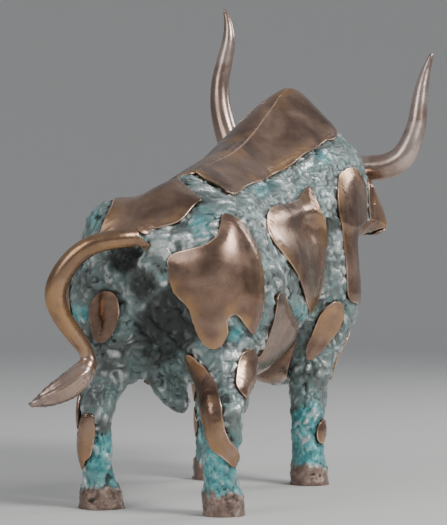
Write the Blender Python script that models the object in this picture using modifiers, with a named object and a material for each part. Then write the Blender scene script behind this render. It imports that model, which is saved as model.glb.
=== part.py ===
"""Cast-bronze bull: one closed body standing on its four hooves, with raised smooth plates.

The bull faces -Y, its right side is -X, and Z is up. The figure is drawn in units of 1/312 of its
height, so that one unit is a millimetre at the size given below.
"""

import math

import bmesh
import bpy
import numpy as np
from mathutils import Euler, Matrix, Vector, noise

# Driving sizes, in metres
HEIGHT = 0.312
PLATE_RISE = 0.0013
PLATE_EDGE = 0.0016
CHANNEL_LUMPS = 0.0011

# The middle of the figure's box as drawn, and the mesh that it is modelled on
MIDDLE = (-12.6, -42.8)
GRAIN = 1.7
TRIANGLES = 9400
FITTING_ROUNDS = 9

# The hump's wall under the ridge, the plates' crown and the channels' lumps, as drawn
HUMP_FOOT = 165
HUMP_HALF_WIDTH = 44
HUMP_ROUNDING = 8
HUMP_SOFTNESS = 16
CREST_RADIUS = 12
PLATE_CROWN = 0.7
CROWN_WIDTH = 7
PLATE_REACH = 12
RIDGE_OVERLAP = 1.5
BARE_RISE = 2
LUMP_SIZE = 9

# How far the skin must face a view to show its plates
NEAR_FACING = -0.1
SIDE_FACING = 0.3

# How far round a shape its distance is worked out, and how the mesh is drawn on to the skin
FAR = 60
HUMP_REACH = 60
MUSCLE_MARGIN = 30
LIMB_MARGIN = 12
LONGEST_MOVE = 3
MOVE_SHARE = 0.9

# Muscles as ellipsoids: centre, radii, turn about X, Y and Z in degrees, softness of the join
MUSCLES = {
    "barrel": ((0, -12, 124), (50, 92, 60), (-8, 0, 0), 1),
    "rump": ((0, 50, 132), (40, 42, 40), (-14, 0, 0), 16),
    "haunch_right": ((-28, 52, 122), (24.5, 36, 46), (-6, 0, 0), 14),
    "haunch_left": ((34, 50, 120), (26, 36, 46), (-6, 0, 0), 14),
    "hip_left": ((35, 62, 153), (13.5, 15, 14), (0, 0, 0), 10),
    "chest": ((-3, -106, 112), (42, 36, 52), (10, 0, 0), 22),
    "shoulder_right": ((-33, -88, 146), (25, 34, 58), (-10, 8, 0), 16),
    "shoulder_left": ((29, -88, 144), (25, 34, 56), (-10, -8, 0), 16),
    "brisket": ((-2, -122, 92), (20, 20, 32), (14, 0, 0), 16),
    "scrotum": ((8, 50, 67), (9, 11, 20), (-18, 28, 0), 10),
    "brow": ((-17, -160, 186), (18, 12, 14), (-20, 0, -6), 8),
    "cheek_right": ((-29, -168, 168), (7, 12, 15), (-25, 0, 0), 8),
    "cheek_left": ((-5, -168, 168), (7, 12, 15), (-25, 0, 0), 8),
    "ear_right": ((-49, -151, 173.5), (6, 8.5, 18), (0, 24, 30), 4),
    "ear_left": ((17, -154, 176), (6, 8.5, 18), (0, -24, -30), 4),
    "eye_right": ((-33, -167, 177), (3.5, 5, 4), (-25, 0, 0), 1.5),
    "eye_left": ((-1, -167, 177), (3.5, 5, 4), (-25, 0, 0), 1.5),
}

# Limbs as tapered tubes: points x, y, z, radius, and the softness of the join
LIMBS = {
    "hind_leg_right": ([(-28, 50, 112, 25), (-26.5, 54, 88, 19.5), (-32.5, 66, 68, 15.6), (-36, 78, 53, 12),
                        (-34.5, 76, 34, 10.3), (-32.5, 73, 20, 10.2), (-34, 72, -4, 10)], 14),
    "hind_leg_left": ([(38, 48, 112, 26), (39, 52, 88, 19), (39.5, 64, 68, 12.8), (39.2, 74, 53, 10.6),
                       (40.6, 72, 34, 9.6), (40.4, 69, 20, 9), (40, 68, -4, 9)], 14),
    "foreleg_right": ([(-34, -90, 112, 21.8), (-33.3, -88, 86, 15.6), (-30.4, -84, 60, 12.9), (-30, -83, 44, 11.8),
                       (-30.3, -82, 28, 11), (-30.8, -82, -4, 10.6)], 14),
    "foreleg_left": ([(34, -92, 112, 23), (35, -92, 86, 17), (36, -90, 60, 12.8), (36, -89, 44, 11.6),
                      (36, -88, 28, 10.4), (36, -88, -4, 10.4)], 14),
    "neck": ([(-8, -100, 174, 42), (-12, -130, 168, 34), (-15, -150, 172, 24)], 20),
    "head": ([(-17, -158, 186, 19), (-17, -170, 167, 17), (-17, -182, 149, 13.5), (-16.5, -190, 136, 12)], 8),
    "muzzle": ([(-22, -192, 132, 8.5), (-11, -192, 132, 8.5)], 5),
    "horn_right": ([(-28, -152, 199, 8.6), (-46, -152, 199.5, 8.6), (-61, -153, 200.5, 8.4), (-71, -154, 205.5, 8),
                    (-77, -155, 215, 7.2), (-80.6, -157, 227, 6.3), (-82.3, -158, 240.5, 5.4), (-84, -159, 253, 4.3),
                    (-86.5, -160, 263.5, 3), (-90.4, -160, 274, 1.2)], 3),
    "horn_left": ([(0, -158, 197, 9), (16, -158, 197, 9.4), (34, -158, 201, 9.2), (46, -159, 212, 8.7),
                   (53.5, -160, 229, 7.9), (57.4, -160, 246, 7), (57.6, -160, 262, 6.1), (54.6, -160, 276, 5.5),
                   (51.5, -160, 290, 4.5), (51.7, -160, 302, 2.9), (54.3, -160, 312, 1.2)], 3),
    "tail_root": ([(-5, 80, 144, 7), (5, 91, 145.3, 5.8)], 3),
    "tail": ([(5, 91, 145.3, 5.6), (14, 101, 144.3, 5.1), (24.6, 107, 141.6, 5.1),
              (34.5, 110, 134.8, 5.4), (42.6, 111, 124, 5.7), (45.7, 110, 114.5, 5.6), (44, 107, 105, 5.2),
              (39.8, 101, 95.4, 4.7), (35.2, 96, 86.8, 4.1), (33.1, 95, 79.5, 3.8)], 3),
    "tuft": ([(33.1, 95, 80, 4), (35.9, 98, 73.5, 6.3), (41, 103, 67.5, 6.8), (48, 109, 62.6, 5.1),
              (57.5, 114, 57.8, 1.2)], 1),
    "hoof_hind_right": ([(-32.9, 72, 13, 10.3), (-33.9, 70.5, -4, 11.1)], 1.5),
    "hoof_hind_left": ([(39.4, 68, 13, 9.8), (39.2, 66.5, -4, 13)], 1.5),
    "hoof_fore_right": ([(-31, -82, 13, 11.2), (-30.6, -84, -4, 12.4)], 1.5),
    "hoof_fore_left": ([(36, -88, 13, 11.2), (36, -90, -4, 12.8)], 1.5),
}

# One drawn unit in metres: the tip of the left horn is the figure's height
UNIT = HEIGHT / LIMBS["horn_left"][0][-1][2]

# Bare bronze limbs, which no channel crosses
BARE = ("horn_right", "horn_left", "tail", "tuft", "hoof_hind_right", "hoof_hind_left",
        "hoof_fore_right", "hoof_fore_left", "head", "muzzle")
BARE_MUSCLES = ("ear_right", "ear_left", "eye_right", "eye_left", "brow", "cheek_right", "cheek_left")

# Boxes round the thin tips of the horns and the tuft: low and high corners
BARE_TIPS = [((-120, -180, 215), (80, -145, 320)), ((46, 100, 50), (70, 125, 68))]

# The ridge from the loin to the top of the hump: x, y, z, the level width on its left, the rounding on its right
RIDGE = [(2, 66, 172, 3, 1), (-2.3, 34, 183.7, 8, 0.5), (-2.6, 10, 190.2, 12, 0.5), (-4, -22, 200.3, 16, 0.5),
         (-4, -50, 211.7, 17, 0.5), (-7.4, -75, 229.6, 13, 0.5), (-10, -95, 244.5, 7, 0.5),
         (-12, -110, 250, 4, 4), (-13, -128, 242.5, 2, 14), (-14, -142, 224, 0, 20), (-15, -156, 207, 0, 20)]
RIDGE_SLOPE = 46

# A seat behind the right hip, from which the near plates are drawn on a plane through the origin
EYE = (-336, 859, 110)
EYE_TURN = 21
EYE_REACH = 922

# Plates drawn from that seat: across and up
NEAR_PLATES = {
    "saddle": [(-17, 188), (-11, 183), (-5, 180), (0, 177), (3, 174), (8, 174.5), (14, 179), (24, 182.5), (30, 186),
               (36, 189), (42, 193), (48, 198), (53, 200), (58, 204), (66, 208), (62, 224), (52, 242), (38, 246),
               (24, 236), (8, 216), (-6, 202), (-16, 194)],
    "rump": [(-70, 157), (-64, 170), (-60, 184), (-40, 190), (-26, 184), (-18, 177), (-12, 172), (-16, 169),
             (-20, 165), (-24, 160), (-28, 157), (-36, 155), (-46, 150), (-60, 146), (-72, 146)],
    "haunch": [(0, 164), (5, 163), (10, 160), (14, 156), (18, 150), (22, 142), (24, 134), (25, 125), (25.5, 116),
               (24, 106), (22, 99), (18, 92), (14, 96), (10.5, 101), (7.5, 104.5), (4, 103), (2.5, 99), (3, 94),
               (1, 88), (-2, 85), (-7, 84), (-12, 88), (-16, 94), (-18, 100), (-20, 107), (-25, 113), (-29, 117),
               (-31, 123), (-32, 131), (-33, 137), (-30, 139.5), (-20, 142.5), (-11, 145), (-4, 150), (-2, 156)],
    "ribs": [(50, 180), (43, 172), (38, 169), (32, 168.5), (27, 166), (25, 161), (25, 156), (26, 151), (29, 146),
             (33, 141), (37, 136), (41, 130), (44, 124), (46, 117), (48, 110), (50, 104.5), (54, 108), (57, 115),
             (59, 124), (60, 134), (61, 145), (60.5, 155), (58, 164), (54, 173)],
    "shoulder": [(68, 187), (66, 182), (66, 168), (67.5, 158), (69, 148), (70, 138), (71, 126), (71, 118),
                 (73, 112), (82, 112), (88, 130), (90, 160), (84, 180), (76, 190)],
    "belly": [(28, 114), (32, 117), (37, 115), (40.5, 106), (44, 99), (43.5, 92), (40, 82), (36.5, 72), (34, 58),
              (28, 52), (18, 56), (17, 75), (20, 84), (22, 93), (23, 101), (25, 109)],
    "forearm": [(58, 108), (64, 112), (70, 110), (71, 103), (68, 96), (64, 91), (60, 86), (55, 81), (48, 77),
                (47, 84), (50, 92), (54, 101)],
    "thigh_inner": [(-70, 118), (-64, 117), (-61, 112), (-60, 105), (-62, 97), (-66, 90), (-71, 87), (-75, 90),
                    (-77, 98), (-78, 107), (-75, 115)],
    "gaskin": [(10, 81), (14, 84), (18.5, 84), (22, 78), (20, 65), (15, 56), (12, 57), (9, 61), (7, 66), (8, 73)],
    "shank": [(-22, 82), (-14, 76), (-9, 71), (-5, 66), (-3, 58), (-1, 50), (0, 42), (3, 33), (8, 28), (11, 24),
              (9, 17), (5, 17), (0, 22), (-5, 25), (-9, 30), (-13, 40), (-17, 52), (-20, 64), (-23, 74)],
    "shin_left": [(-80, 48), (-75, 46), (-74, 36), (-76, 24), (-79, 20), (-84, 26), (-84, 42)],
    "knee": [(53, 38), (57, 44), (62, 42), (61, 33), (55, 30)],
}

# Boxes that keep the near plates off what stands behind them: low and high corners
NEAR_BOXES = {
    "rump": ((-60, 0, 130), (60, 110, 220)),
    "haunch": ((-70, 12, 60), (10, 110, 190)),
    "ribs": ((-70, -64, 80), (10, 50, 200)),
    "shoulder": ((-80, -122, 90), (-20, -40, 200)),
    "belly": ((-70, -100, 40), (40, 48, 140)),
    "forearm": ((-70, -130, 60), (-10, -56, 130)),
    "thigh_inner": ((14, 20, 60), (80, 110, 140)),
    "gaskin": ((-70, 40, 30), (-10, 110, 100)),
    "shank": ((-70, 40, 0), (-10, 110, 100)),
    "shin_left": ((15, 30, 0), (80, 110, 70)),
    "knee": ((-70, -110, 0), (-5, -56, 60)),
}
SIDE_BOXES = {
    "left": ((18, -170, 0), (90, 130, 320)),
    "right": ((-90, -170, 0), (-12, 130, 320)),
    "front": ((-90, -230, 0), (90, -70, 320)),
}

# Plates drawn on the left flank: along and up
LEFT_PLATES = {
    "haunch": [(22, 150), (34, 158), (46, 160), (58, 156), (66, 146), (70, 134), (71, 118), (70, 104), (66, 95),
               (62, 99), (58, 92), (54, 82), (48, 78), (42, 86), (34, 94), (24, 104), (18, 116), (14, 130), (16, 142)],
    "ribs": [(-48, 172), (-34, 176), (-16, 172), (0, 164), (8, 154), (8, 140), (4, 128), (0, 116), (-8, 106),
             (-18, 100), (-26, 104), (-34, 114), (-42, 126), (-48, 142), (-50, 158)],
    "shoulder": [(-62, 182), (-58, 168), (-60, 150), (-58, 132), (-62, 116), (-70, 104), (-82, 98), (-94, 100),
                 (-100, 112), (-102, 128), (-108, 146), (-112, 164), (-104, 178), (-90, 188), (-74, 190)],
    "chest": [(-108, 124), (-116, 130), (-124, 124), (-130, 112), (-128, 98), (-120, 88), (-110, 86), (-104, 94),
              (-106, 108)],
    "belly": [(-52, 92), (-40, 88), (-28, 86), (-16, 90), (-4, 94), (6, 90), (14, 84), (20, 76), (14, 66), (0, 60),
              (-20, 56), (-40, 56), (-54, 62), (-60, 74), (-58, 86)],
    "hump": [(36, 178), (24, 174), (8, 172), (-6, 178), (-20, 184), (-36, 186), (-50, 186), (-60, 192), (-76, 200),
             (-96, 200), (-112, 196), (-124, 204), (-132, 224), (-120, 264), (-80, 262), (-40, 236), (0, 214),
             (36, 200)],
    "neck": [(-122, 190), (-118, 178), (-122, 160), (-128, 146), (-136, 142), (-144, 150), (-148, 166), (-146, 182),
             (-136, 194)],
    "forearm": [(-108, 78), (-98, 88), (-86, 90), (-78, 84), (-76, 70), (-80, 56), (-88, 48), (-96, 52), (-102, 64)],
    "gaskin": [(38, 70), (48, 78), (60, 78), (70, 70), (80, 60), (82, 48), (76, 42), (68, 50), (60, 58), (50, 62)],
    "shin": [(64, 40), (72, 44), (80, 38), (80, 26), (74, 20), (66, 24)],
    "knee": [(-98, 40), (-90, 46), (-82, 42), (-80, 32), (-86, 26), (-96, 28)],
}

# Plates drawn on the right flank: along and up
RIGHT_PLATES = {
    "neck": [(-130, 190), (-128, 176), (-131, 160), (-137, 148), (-145, 148), (-151, 160), (-152, 176), (-146, 190),
             (-137, 197)],
}

# Plates drawn from the front: across and up
FRONT_PLATES = {
    "breast": [(-22, 128), (0, 134), (20, 126), (26, 106), (18, 84), (2, 72), (-14, 80), (-28, 98), (-30, 116)],
    "hump": [(-34, 236), (-12, 262), (8, 240), (14, 222), (-4, 214), (-24, 214), (-38, 220)],
    "forearm_right": [(-50, 96), (-38, 100), (-26, 92), (-26, 74), (-34, 62), (-46, 66), (-52, 80)],
    "forearm_left": [(24, 92), (36, 98), (48, 94), (50, 78), (42, 62), (32, 62), (24, 76)],
}

VIEWS = {"near": NEAR_PLATES, "left": LEFT_PLATES, "right": RIGHT_PLATES, "front": FRONT_PLATES}


def clear_scene():
    """Remove the objects of the start-up scene."""
    for thing in list(bpy.data.objects):
        bpy.data.objects.remove(thing)


def through(points, step=3.0):
    """Points about step apart on a smooth curve through the given ones, radius included."""
    given = np.array(points, float)
    ends = np.vstack([2 * given[0] - given[1], given, 2 * given[-1] - given[-2]])
    curve = []
    for a, b, c, d in zip(ends, ends[1:], ends[2:], ends[3:]):
        count = max(int(np.linalg.norm(c[:3] - b[:3]) / step), 1)
        for t in np.arange(count) / count:
            curve.append(0.5 * (2 * b + (c - a) * t + (2 * a - 5 * b + 4 * c - d) * t ** 2
                                + (3 * b - a - 3 * c + d) * t ** 3))
    curve.append(given[-1])
    return np.array(curve)


def turned(angles):
    """The matrix that turns a muscle's own axes into the figure's."""
    return Euler([math.radians(angle) for angle in angles], "XYZ").to_matrix()


def near(points, low, high, margin):
    """Indices of the points inside a box and a margin round it."""
    return np.where(((points > low - margin) & (points < high + margin)).all(1))[0]


def muscle_distance(points, centre, radii, angles):
    """Approximate distance from each point to an ellipsoid."""
    local = (points - np.array(centre, float)) @ np.array(turned(angles))
    sizes = np.array(radii, float)
    reach = np.linalg.norm(local / sizes, axis=1)
    slope = np.linalg.norm(local / sizes ** 2, axis=1)
    return reach * (reach - 1) / np.maximum(slope, 1e-6)


def limb_distance(points, curve):
    """Distance from each point to a tube of changing radius."""
    nearest = np.full(len(points), 1e3)
    for start, end in zip(curve, curve[1:]):
        run = end[:3] - start[:3]
        along = np.clip((points - start[:3]) @ run / (run @ run), 0, 1)
        gap = np.linalg.norm(points - start[:3] - along[:, None] * run, axis=1)
        nearest = np.minimum(nearest, gap - start[3] - along * (end[3] - start[3]))
    return nearest


def join_softly(whole, extra, softness):
    """The smaller of two distances, rounded where they are nearly equal."""
    overlap = np.maximum(softness - np.abs(whole - extra), 0) / softness
    return np.minimum(whole, extra) - overlap ** 2 * softness / 4


def ridge_gap(points):
    """Height of each point over the roof that falls to both sides of the ridge, and its side."""
    line = through(RIDGE)[::-1]
    across, top, level, rounding = (np.interp(points[:, 1], line[:, 1], line[:, column]) for column in (0, 2, 3, 4))
    sideways = points[:, 0] - across
    steep = math.tan(math.radians(RIDGE_SLOPE))
    right = (top - points[:, 2] + steep * sideways) / math.hypot(1, steep)
    left = (top - points[:, 2] - steep * (sideways - level)) / math.hypot(1, steep)
    over = -join_softly(top - points[:, 2], left, HUMP_ROUNDING)
    return -join_softly(-over, right, np.maximum(rounding, 0.1)), sideways


def hump_distance(points):
    """Distance from each point to the hump, a thick wall whose top is the roof along the ridge."""
    line = np.array(RIDGE, float)[::-1]
    over, sideways = ridge_gap(points)
    ends = np.maximum(line[0, 1] - points[:, 1], points[:, 1] - line[-1, 1])
    low = HUMP_FOOT - points[:, 2]
    walls = np.maximum(np.abs(sideways) - HUMP_HALF_WIDTH, low)
    return -join_softly(-over, -np.maximum(walls, ends), HUMP_ROUNDING)


def flesh_distance(points, curves):
    """Distance from each point to the bull's skin, before any plates."""
    whole = np.full(len(points), float(FAR))
    for centre, radii, angles, softness in MUSCLES.values():
        reach = max(radii) + softness + MUSCLE_MARGIN
        some = near(points, np.array(centre) - reach, np.array(centre) + reach, 0)
        extra = muscle_distance(points[some], centre, radii, angles)
        whole[some] = join_softly(whole[some], extra, softness)
    line = np.array(RIDGE, float)[:, :3]
    some = near(points, line.min(0), line.max(0), HUMP_REACH)
    whole[some] = join_softly(whole[some], hump_distance(points[some]), HUMP_SOFTNESS)
    for name, (_, softness) in LIMBS.items():
        curve = curves[name]
        margin = curve[:, 3].max() + softness + LIMB_MARGIN
        some = near(points, curve[:, :3].min(0), curve[:, :3].max(0), margin)
        whole[some] = join_softly(whole[some], limb_distance(points[some], curve), softness)
    return whole


def rough_shape(curves):
    """The muscles and limbs as plain solids in one mesh, made one skin by a voxel remesh."""
    bm = bmesh.new()
    for centre, radii, angles, _ in MUSCLES.values():
        place = Matrix.Translation(centre) @ turned(angles).to_4x4() @ Matrix.Diagonal((*radii, 1))
        bmesh.ops.create_uvsphere(bm, u_segments=32, v_segments=20, radius=1, matrix=place)
    mesh = bpy.data.meshes.new("flesh")
    bm.to_mesh(mesh)
    bm.free()
    parts = [bpy.data.objects.new("flesh", mesh)]
    crest = through([(x, y, z - CREST_RADIUS - rounding / 2, CREST_RADIUS) for x, y, z, _, rounding in RIDGE])
    for name, curve in [*curves.items(), ("ridge", crest)]:
        line = bpy.data.curves.new(name, "CURVE")
        line.dimensions = "3D"
        line.bevel_depth = 1
        line.bevel_resolution = 3
        line.use_fill_caps = True
        spline = line.splines.new("POLY")
        spline.points.add(len(curve) - 1)
        for point, (x, y, z, radius) in zip(spline.points, curve):
            point.co = (x, y, z, 1)
            point.radius = max(radius, GRAIN * 0.8)
        parts.append(bpy.data.objects.new(name, line))
    for part in parts:
        bpy.context.scene.collection.objects.link(part)
    tubes = bmesh.new()
    for part in parts:
        view = bpy.context.evaluated_depsgraph_get()
        solid = bpy.data.meshes.new_from_object(part.evaluated_get(view))
        tubes.from_mesh(solid)
    for part in parts:
        bpy.data.objects.remove(part)
    bmesh.ops.remove_doubles(tubes, verts=tubes.verts, dist=0.0001)
    joined = bpy.data.meshes.new("bull")
    tubes.to_mesh(joined)
    tubes.free()
    return joined


def evaluated(thing):
    """A plain mesh of the object with its modifiers."""
    view = bpy.context.evaluated_depsgraph_get()
    return bpy.data.meshes.new_from_object(thing.evaluated_get(view))


def reskin(figure):
    """One even skin round everything in the object, with the inner walls gone."""
    skin = figure.modifiers.new("Skin", "REMESH")
    skin.mode = "VOXEL"
    skin.voxel_size = GRAIN
    mesh = evaluated(figure)
    figure.modifiers.remove(skin)
    figure.data = mesh


def coordinates(mesh):
    """The mesh's points as an array."""
    flat = np.empty(len(mesh.vertices) * 3)
    mesh.vertices.foreach_get("co", flat)
    return flat.reshape(-1, 3)


def normals_of(mesh):
    """The mesh's outward directions as an array."""
    flat = np.empty(len(mesh.vertices) * 3)
    mesh.vertices.foreach_get("normal", flat)
    return flat.reshape(-1, 3)


def place_points(mesh, points):
    """Move the mesh's points."""
    mesh.vertices.foreach_set("co", points.ravel())
    mesh.update()


def edge_ends(mesh):
    """The two points of every edge."""
    flat = np.empty(len(mesh.edges) * 2, int)
    mesh.edges.foreach_get("vertices", flat)
    return flat.reshape(-1, 2)


def evened(points, ends, amount):
    """Each point moved part of the way to the middle of its neighbours."""
    count = len(points)
    shared = np.bincount(ends.ravel(), minlength=count)[:, None]
    middle = np.empty_like(points)
    for axis in range(3):
        middle[:, axis] = (np.bincount(ends[:, 0], points[ends[:, 1], axis], count)
                           + np.bincount(ends[:, 1], points[ends[:, 0], axis], count))
    return points + amount * (middle / shared - points)


def fit_to_flesh(mesh, curves):
    """Even out the mesh and lay it on the bull's skin."""
    ends = edge_ends(mesh)
    for turn in range(FITTING_ROUNDS):
        points = coordinates(mesh)
        if turn < FITTING_ROUNDS - 3:
            points = evened(points, ends, 0.5)
            place_points(mesh, points)
        gap = np.clip(flesh_distance(points, curves), -LONGEST_MOVE, LONGEST_MOVE)
        place_points(mesh, points - MOVE_SHARE * gap[:, None] * normals_of(mesh))


def rounded_outline(corners, cuts=4):
    """A closed outline led smoothly through its corners."""
    given = np.array(corners, float)
    before, after, beyond = (np.roll(given, shift, axis=0) for shift in (1, -1, -2))
    steps = []
    for t in np.arange(cuts) / cuts:
        steps.append(0.5 * (2 * given + (after - before) * t + (2 * before - 5 * given + 4 * after - beyond) * t ** 2
                            + (3 * given - before - 3 * after + beyond) * t ** 3))
    return np.stack(steps, 1).reshape(-1, 2)


def depth_inside(flat, corners, reach):
    """How far each flat point lies inside an outline, less than zero outside it, and its direction."""
    outline = rounded_outline(corners)
    depth = np.full(len(flat), -reach)
    inward = np.zeros((len(flat), 2))
    some = near(flat, outline.min(0), outline.max(0), reach)
    spots = flat[some]
    closest = np.full(len(spots), 1e3)
    offset = np.zeros((len(spots), 2))
    crossings = np.zeros(len(spots), int)
    for start, end in zip(outline, np.roll(outline, -1, axis=0)):
        run = end - start
        along = np.clip((spots - start) @ run / (run @ run), 0, 1)
        away = spots - start - along[:, None] * run
        gap = np.linalg.norm(away, axis=1)
        nearer = gap < closest
        closest[nearer] = gap[nearer]
        offset[nearer] = away[nearer]
        spans = (start[1] > spots[:, 1]) != (end[1] > spots[:, 1])
        if run[1]:
            spans &= spots[:, 0] < start[0] + run[0] * (spots[:, 1] - start[1]) / run[1]
            crossings += spans
    side = np.where(crossings % 2, 1.0, -1.0)
    depth[some] = np.maximum(side * closest, -reach)
    inward[some] = side[:, None] * offset / np.maximum(closest, 1e-6)[:, None]
    return depth, inward


def drawn_from(points, normals, view):
    """Flat places of the points as drawn from one view, the drawing's axes, and how far they face it."""
    turn = math.radians(EYE_TURN)
    if view == "near":
        ahead = np.array((math.sin(turn), -math.cos(turn), 0))
        across = np.array((-math.cos(turn), -math.sin(turn), 0))
        reach = points - np.array(EYE)
        scale = EYE_REACH / (reach @ ahead)
        flat = np.stack((scale * (reach @ across), EYE[2] + scale * reach[:, 2]), 1)
        sight = reach / np.linalg.norm(reach, axis=1)[:, None]
        return flat, across, -(normals * sight).sum(1)
    if view in ("left", "right"):
        return points[:, 1:], np.array((0, 1, 0)), normals[:, 0] * (1 if view == "left" else -1)
    return points[:, [0, 2]], np.array((1, 0, 0)), -normals[:, 1]


def kept_inside(points, depth, view, name):
    """A plate's depth, cut short at the sides of its box."""
    box = NEAR_BOXES.get(name) if view == "near" else SIDE_BOXES[view]
    if box is None or name == "hump":
        return depth
    low, high = np.array(box, float)
    return np.minimum(depth, np.minimum(points - low, high - points).min(1))


def plate_depth(points, normals):
    """How far each point of the skin lies inside a plate, in the figure's units."""
    reach = PLATE_REACH
    deepest = np.full(len(points), -float(reach))
    side = ridge_gap(points)[1]
    for view, plates in VIEWS.items():
        flat, across, facing = drawn_from(points, normals, view)
        for name, corners in plates.items():
            depth, inward = depth_inside(flat, corners, reach)
            slant = inward[:, :1] * across + inward[:, 1:] * np.array((0, 0, 1.0))
            lean = np.sqrt(np.maximum(1 - (slant * normals).sum(1) ** 2, 0.1))
            depth = np.clip(depth / lean, -reach, reach)
            least = NEAR_FACING if view == "near" or name == "hump" else SIDE_FACING
            depth = np.where(facing > least, depth, -reach)
            depth = kept_inside(points, depth, view, name)
            if name == "saddle":
                depth = np.minimum(depth, RIDGE_OVERLAP - side)
            if name == "hump" and view == "left":
                depth = np.minimum(depth, RIDGE_OVERLAP + side)
            deepest = np.maximum(deepest, depth)
    return deepest


def bare_depth(points, curves):
    """How far each point lies on a bare bronze limb, such as a horn, the tail or a hoof."""
    nearest = np.full(len(points), float(PLATE_REACH))
    for name in BARE:
        curve = curves[name]
        some = near(points, curve[:, :3].min(0), curve[:, :3].max(0), curve[:, 3].max() + PLATE_REACH)
        nearest[some] = np.minimum(nearest[some], limb_distance(points[some], curve))
    for name in BARE_MUSCLES:
        centre, radii, angles, _ = MUSCLES[name]
        nearest = np.minimum(nearest, muscle_distance(points, centre, radii, angles))
    for low, high in BARE_TIPS:
        tip = ((points > low) & (points < high)).all(1)
        nearest[tip] = np.minimum(nearest[tip], 0)
    return BARE_RISE - nearest


def eased(values, low, high):
    """A smooth step from 0 at low to 1 at high."""
    share = np.clip((values - low) / (high - low), 0, 1)
    return share * share * (3 - 2 * share)


def lumps(points, size):
    """Rough casting lumps between -1 and 1."""
    return np.array([noise.fractal(Vector(point) / size, 0.8, 2.1, 3) for point in points])


def carve_channels(mesh, curves):
    """Sink the rough channels between the smooth plates."""
    points = coordinates(mesh)
    normals = normals_of(mesh)
    depth = np.maximum(plate_depth(points, normals), bare_depth(points, curves))
    plate = eased(depth, -PLATE_EDGE / UNIT, 0)
    crown = PLATE_CROWN * eased(depth, 0, CROWN_WIDTH)
    sink = PLATE_RISE / UNIT - CHANNEL_LUMPS / UNIT * lumps(points, LUMP_SIZE)
    place_points(mesh, points + normals * (crown - (1 - plate) * sink)[:, None])


def thinned(thing, triangles):
    """Decimate the object's mesh to about a number of triangles."""
    faces = sum(len(face.vertices) - 2 for face in thing.data.polygons)
    fewer = thing.modifiers.new("Fewer", "DECIMATE")
    fewer.ratio = min(triangles / faces, 1)
    mesh = evaluated(thing)
    thing.modifiers.remove(fewer)
    thing.data = mesh


def stand_flat(mesh):
    """Cut the hooves off flat at the floor and close them."""
    bm = bmesh.new()
    bm.from_mesh(mesh)
    everything = bm.verts[:] + bm.edges[:] + bm.faces[:]
    cut = bmesh.ops.bisect_plane(bm, geom=everything, dist=0.0001, plane_co=(0, 0, 0),
                                 plane_no=(0, 0, 1), clear_inner=True)
    rims = [item for item in cut["geom_cut"] if isinstance(item, bmesh.types.BMEdge)]
    bmesh.ops.holes_fill(bm, edges=rims, sides=0)
    bmesh.ops.triangulate(bm, faces=bm.faces)
    bm.to_mesh(mesh)
    bm.free()


def bronze():
    """Brown polished bronze."""
    material = bpy.data.materials.new("bronze")
    material.use_nodes = True
    shader = material.node_tree.nodes["Principled BSDF"]
    shader.inputs["Base Color"].default_value = (0.16, 0.08, 0.045, 1)
    shader.inputs["Metallic"].default_value = 0.8
    shader.inputs["Roughness"].default_value = 0.4
    return material


def bull():
    """The whole casting."""
    curves = {name: through(points) for name, (points, _) in LIMBS.items()}
    figure = bpy.data.objects.new("bull", rough_shape(curves))
    collection = bpy.data.collections.new("bull_sculpture")
    bpy.context.scene.collection.children.link(collection)
    collection.objects.link(figure)
    for turn in range(2):
        reskin(figure)
        fit_to_flesh(figure.data, curves)
    carve_channels(figure.data, curves)
    thinned(figure, TRIANGLES)
    stand_flat(figure.data)
    place_points(figure.data, (coordinates(figure.data) - (*MIDDLE, 0)) * UNIT)
    figure.data.shade_smooth()
    figure.data.materials.clear()
    figure.data.materials.append(bronze())
    return figure


clear_scene()
bull()
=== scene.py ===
"""Looks of the standing bronze bull: polished brown plates over rough verdigris channels.

The bull faces -Y, its right side is -X, and Z is up. Its tables are drawn in units of which one is a
millimetre, and the finished pieces are in metres.
"""

import math

import bmesh
import bpy
import numpy as np
from mathutils import Euler, Matrix, Vector, noise


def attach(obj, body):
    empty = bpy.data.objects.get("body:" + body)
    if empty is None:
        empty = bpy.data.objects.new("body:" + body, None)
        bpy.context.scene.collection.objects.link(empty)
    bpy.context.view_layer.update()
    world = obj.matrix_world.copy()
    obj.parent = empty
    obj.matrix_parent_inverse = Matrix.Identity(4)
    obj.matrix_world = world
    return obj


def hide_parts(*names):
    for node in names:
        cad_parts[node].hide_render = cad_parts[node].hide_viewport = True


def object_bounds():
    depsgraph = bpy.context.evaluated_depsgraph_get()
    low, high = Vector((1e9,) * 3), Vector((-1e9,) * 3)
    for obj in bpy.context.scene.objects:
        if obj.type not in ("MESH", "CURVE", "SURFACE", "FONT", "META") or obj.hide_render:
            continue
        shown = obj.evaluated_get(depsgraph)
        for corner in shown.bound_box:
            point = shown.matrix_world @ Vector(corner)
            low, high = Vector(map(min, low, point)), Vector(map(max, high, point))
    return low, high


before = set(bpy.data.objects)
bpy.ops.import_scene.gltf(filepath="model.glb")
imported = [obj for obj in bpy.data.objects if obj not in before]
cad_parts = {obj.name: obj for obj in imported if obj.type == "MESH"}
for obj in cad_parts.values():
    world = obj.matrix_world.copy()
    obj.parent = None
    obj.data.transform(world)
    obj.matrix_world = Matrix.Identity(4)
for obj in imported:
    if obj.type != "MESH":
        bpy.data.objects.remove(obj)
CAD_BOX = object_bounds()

# Driving sizes, in metres
HEIGHT = 0.312
PLATE_RISE = 0.0013
CHANNEL_LUMPS = 0.0011

# The middle of the figure's box as drawn, and the meshes that it is modelled on
MIDDLE = (-12.6, -42.8)
COARSE_GRAIN = 2.2
FINE_GRAIN = 1.25

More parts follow.
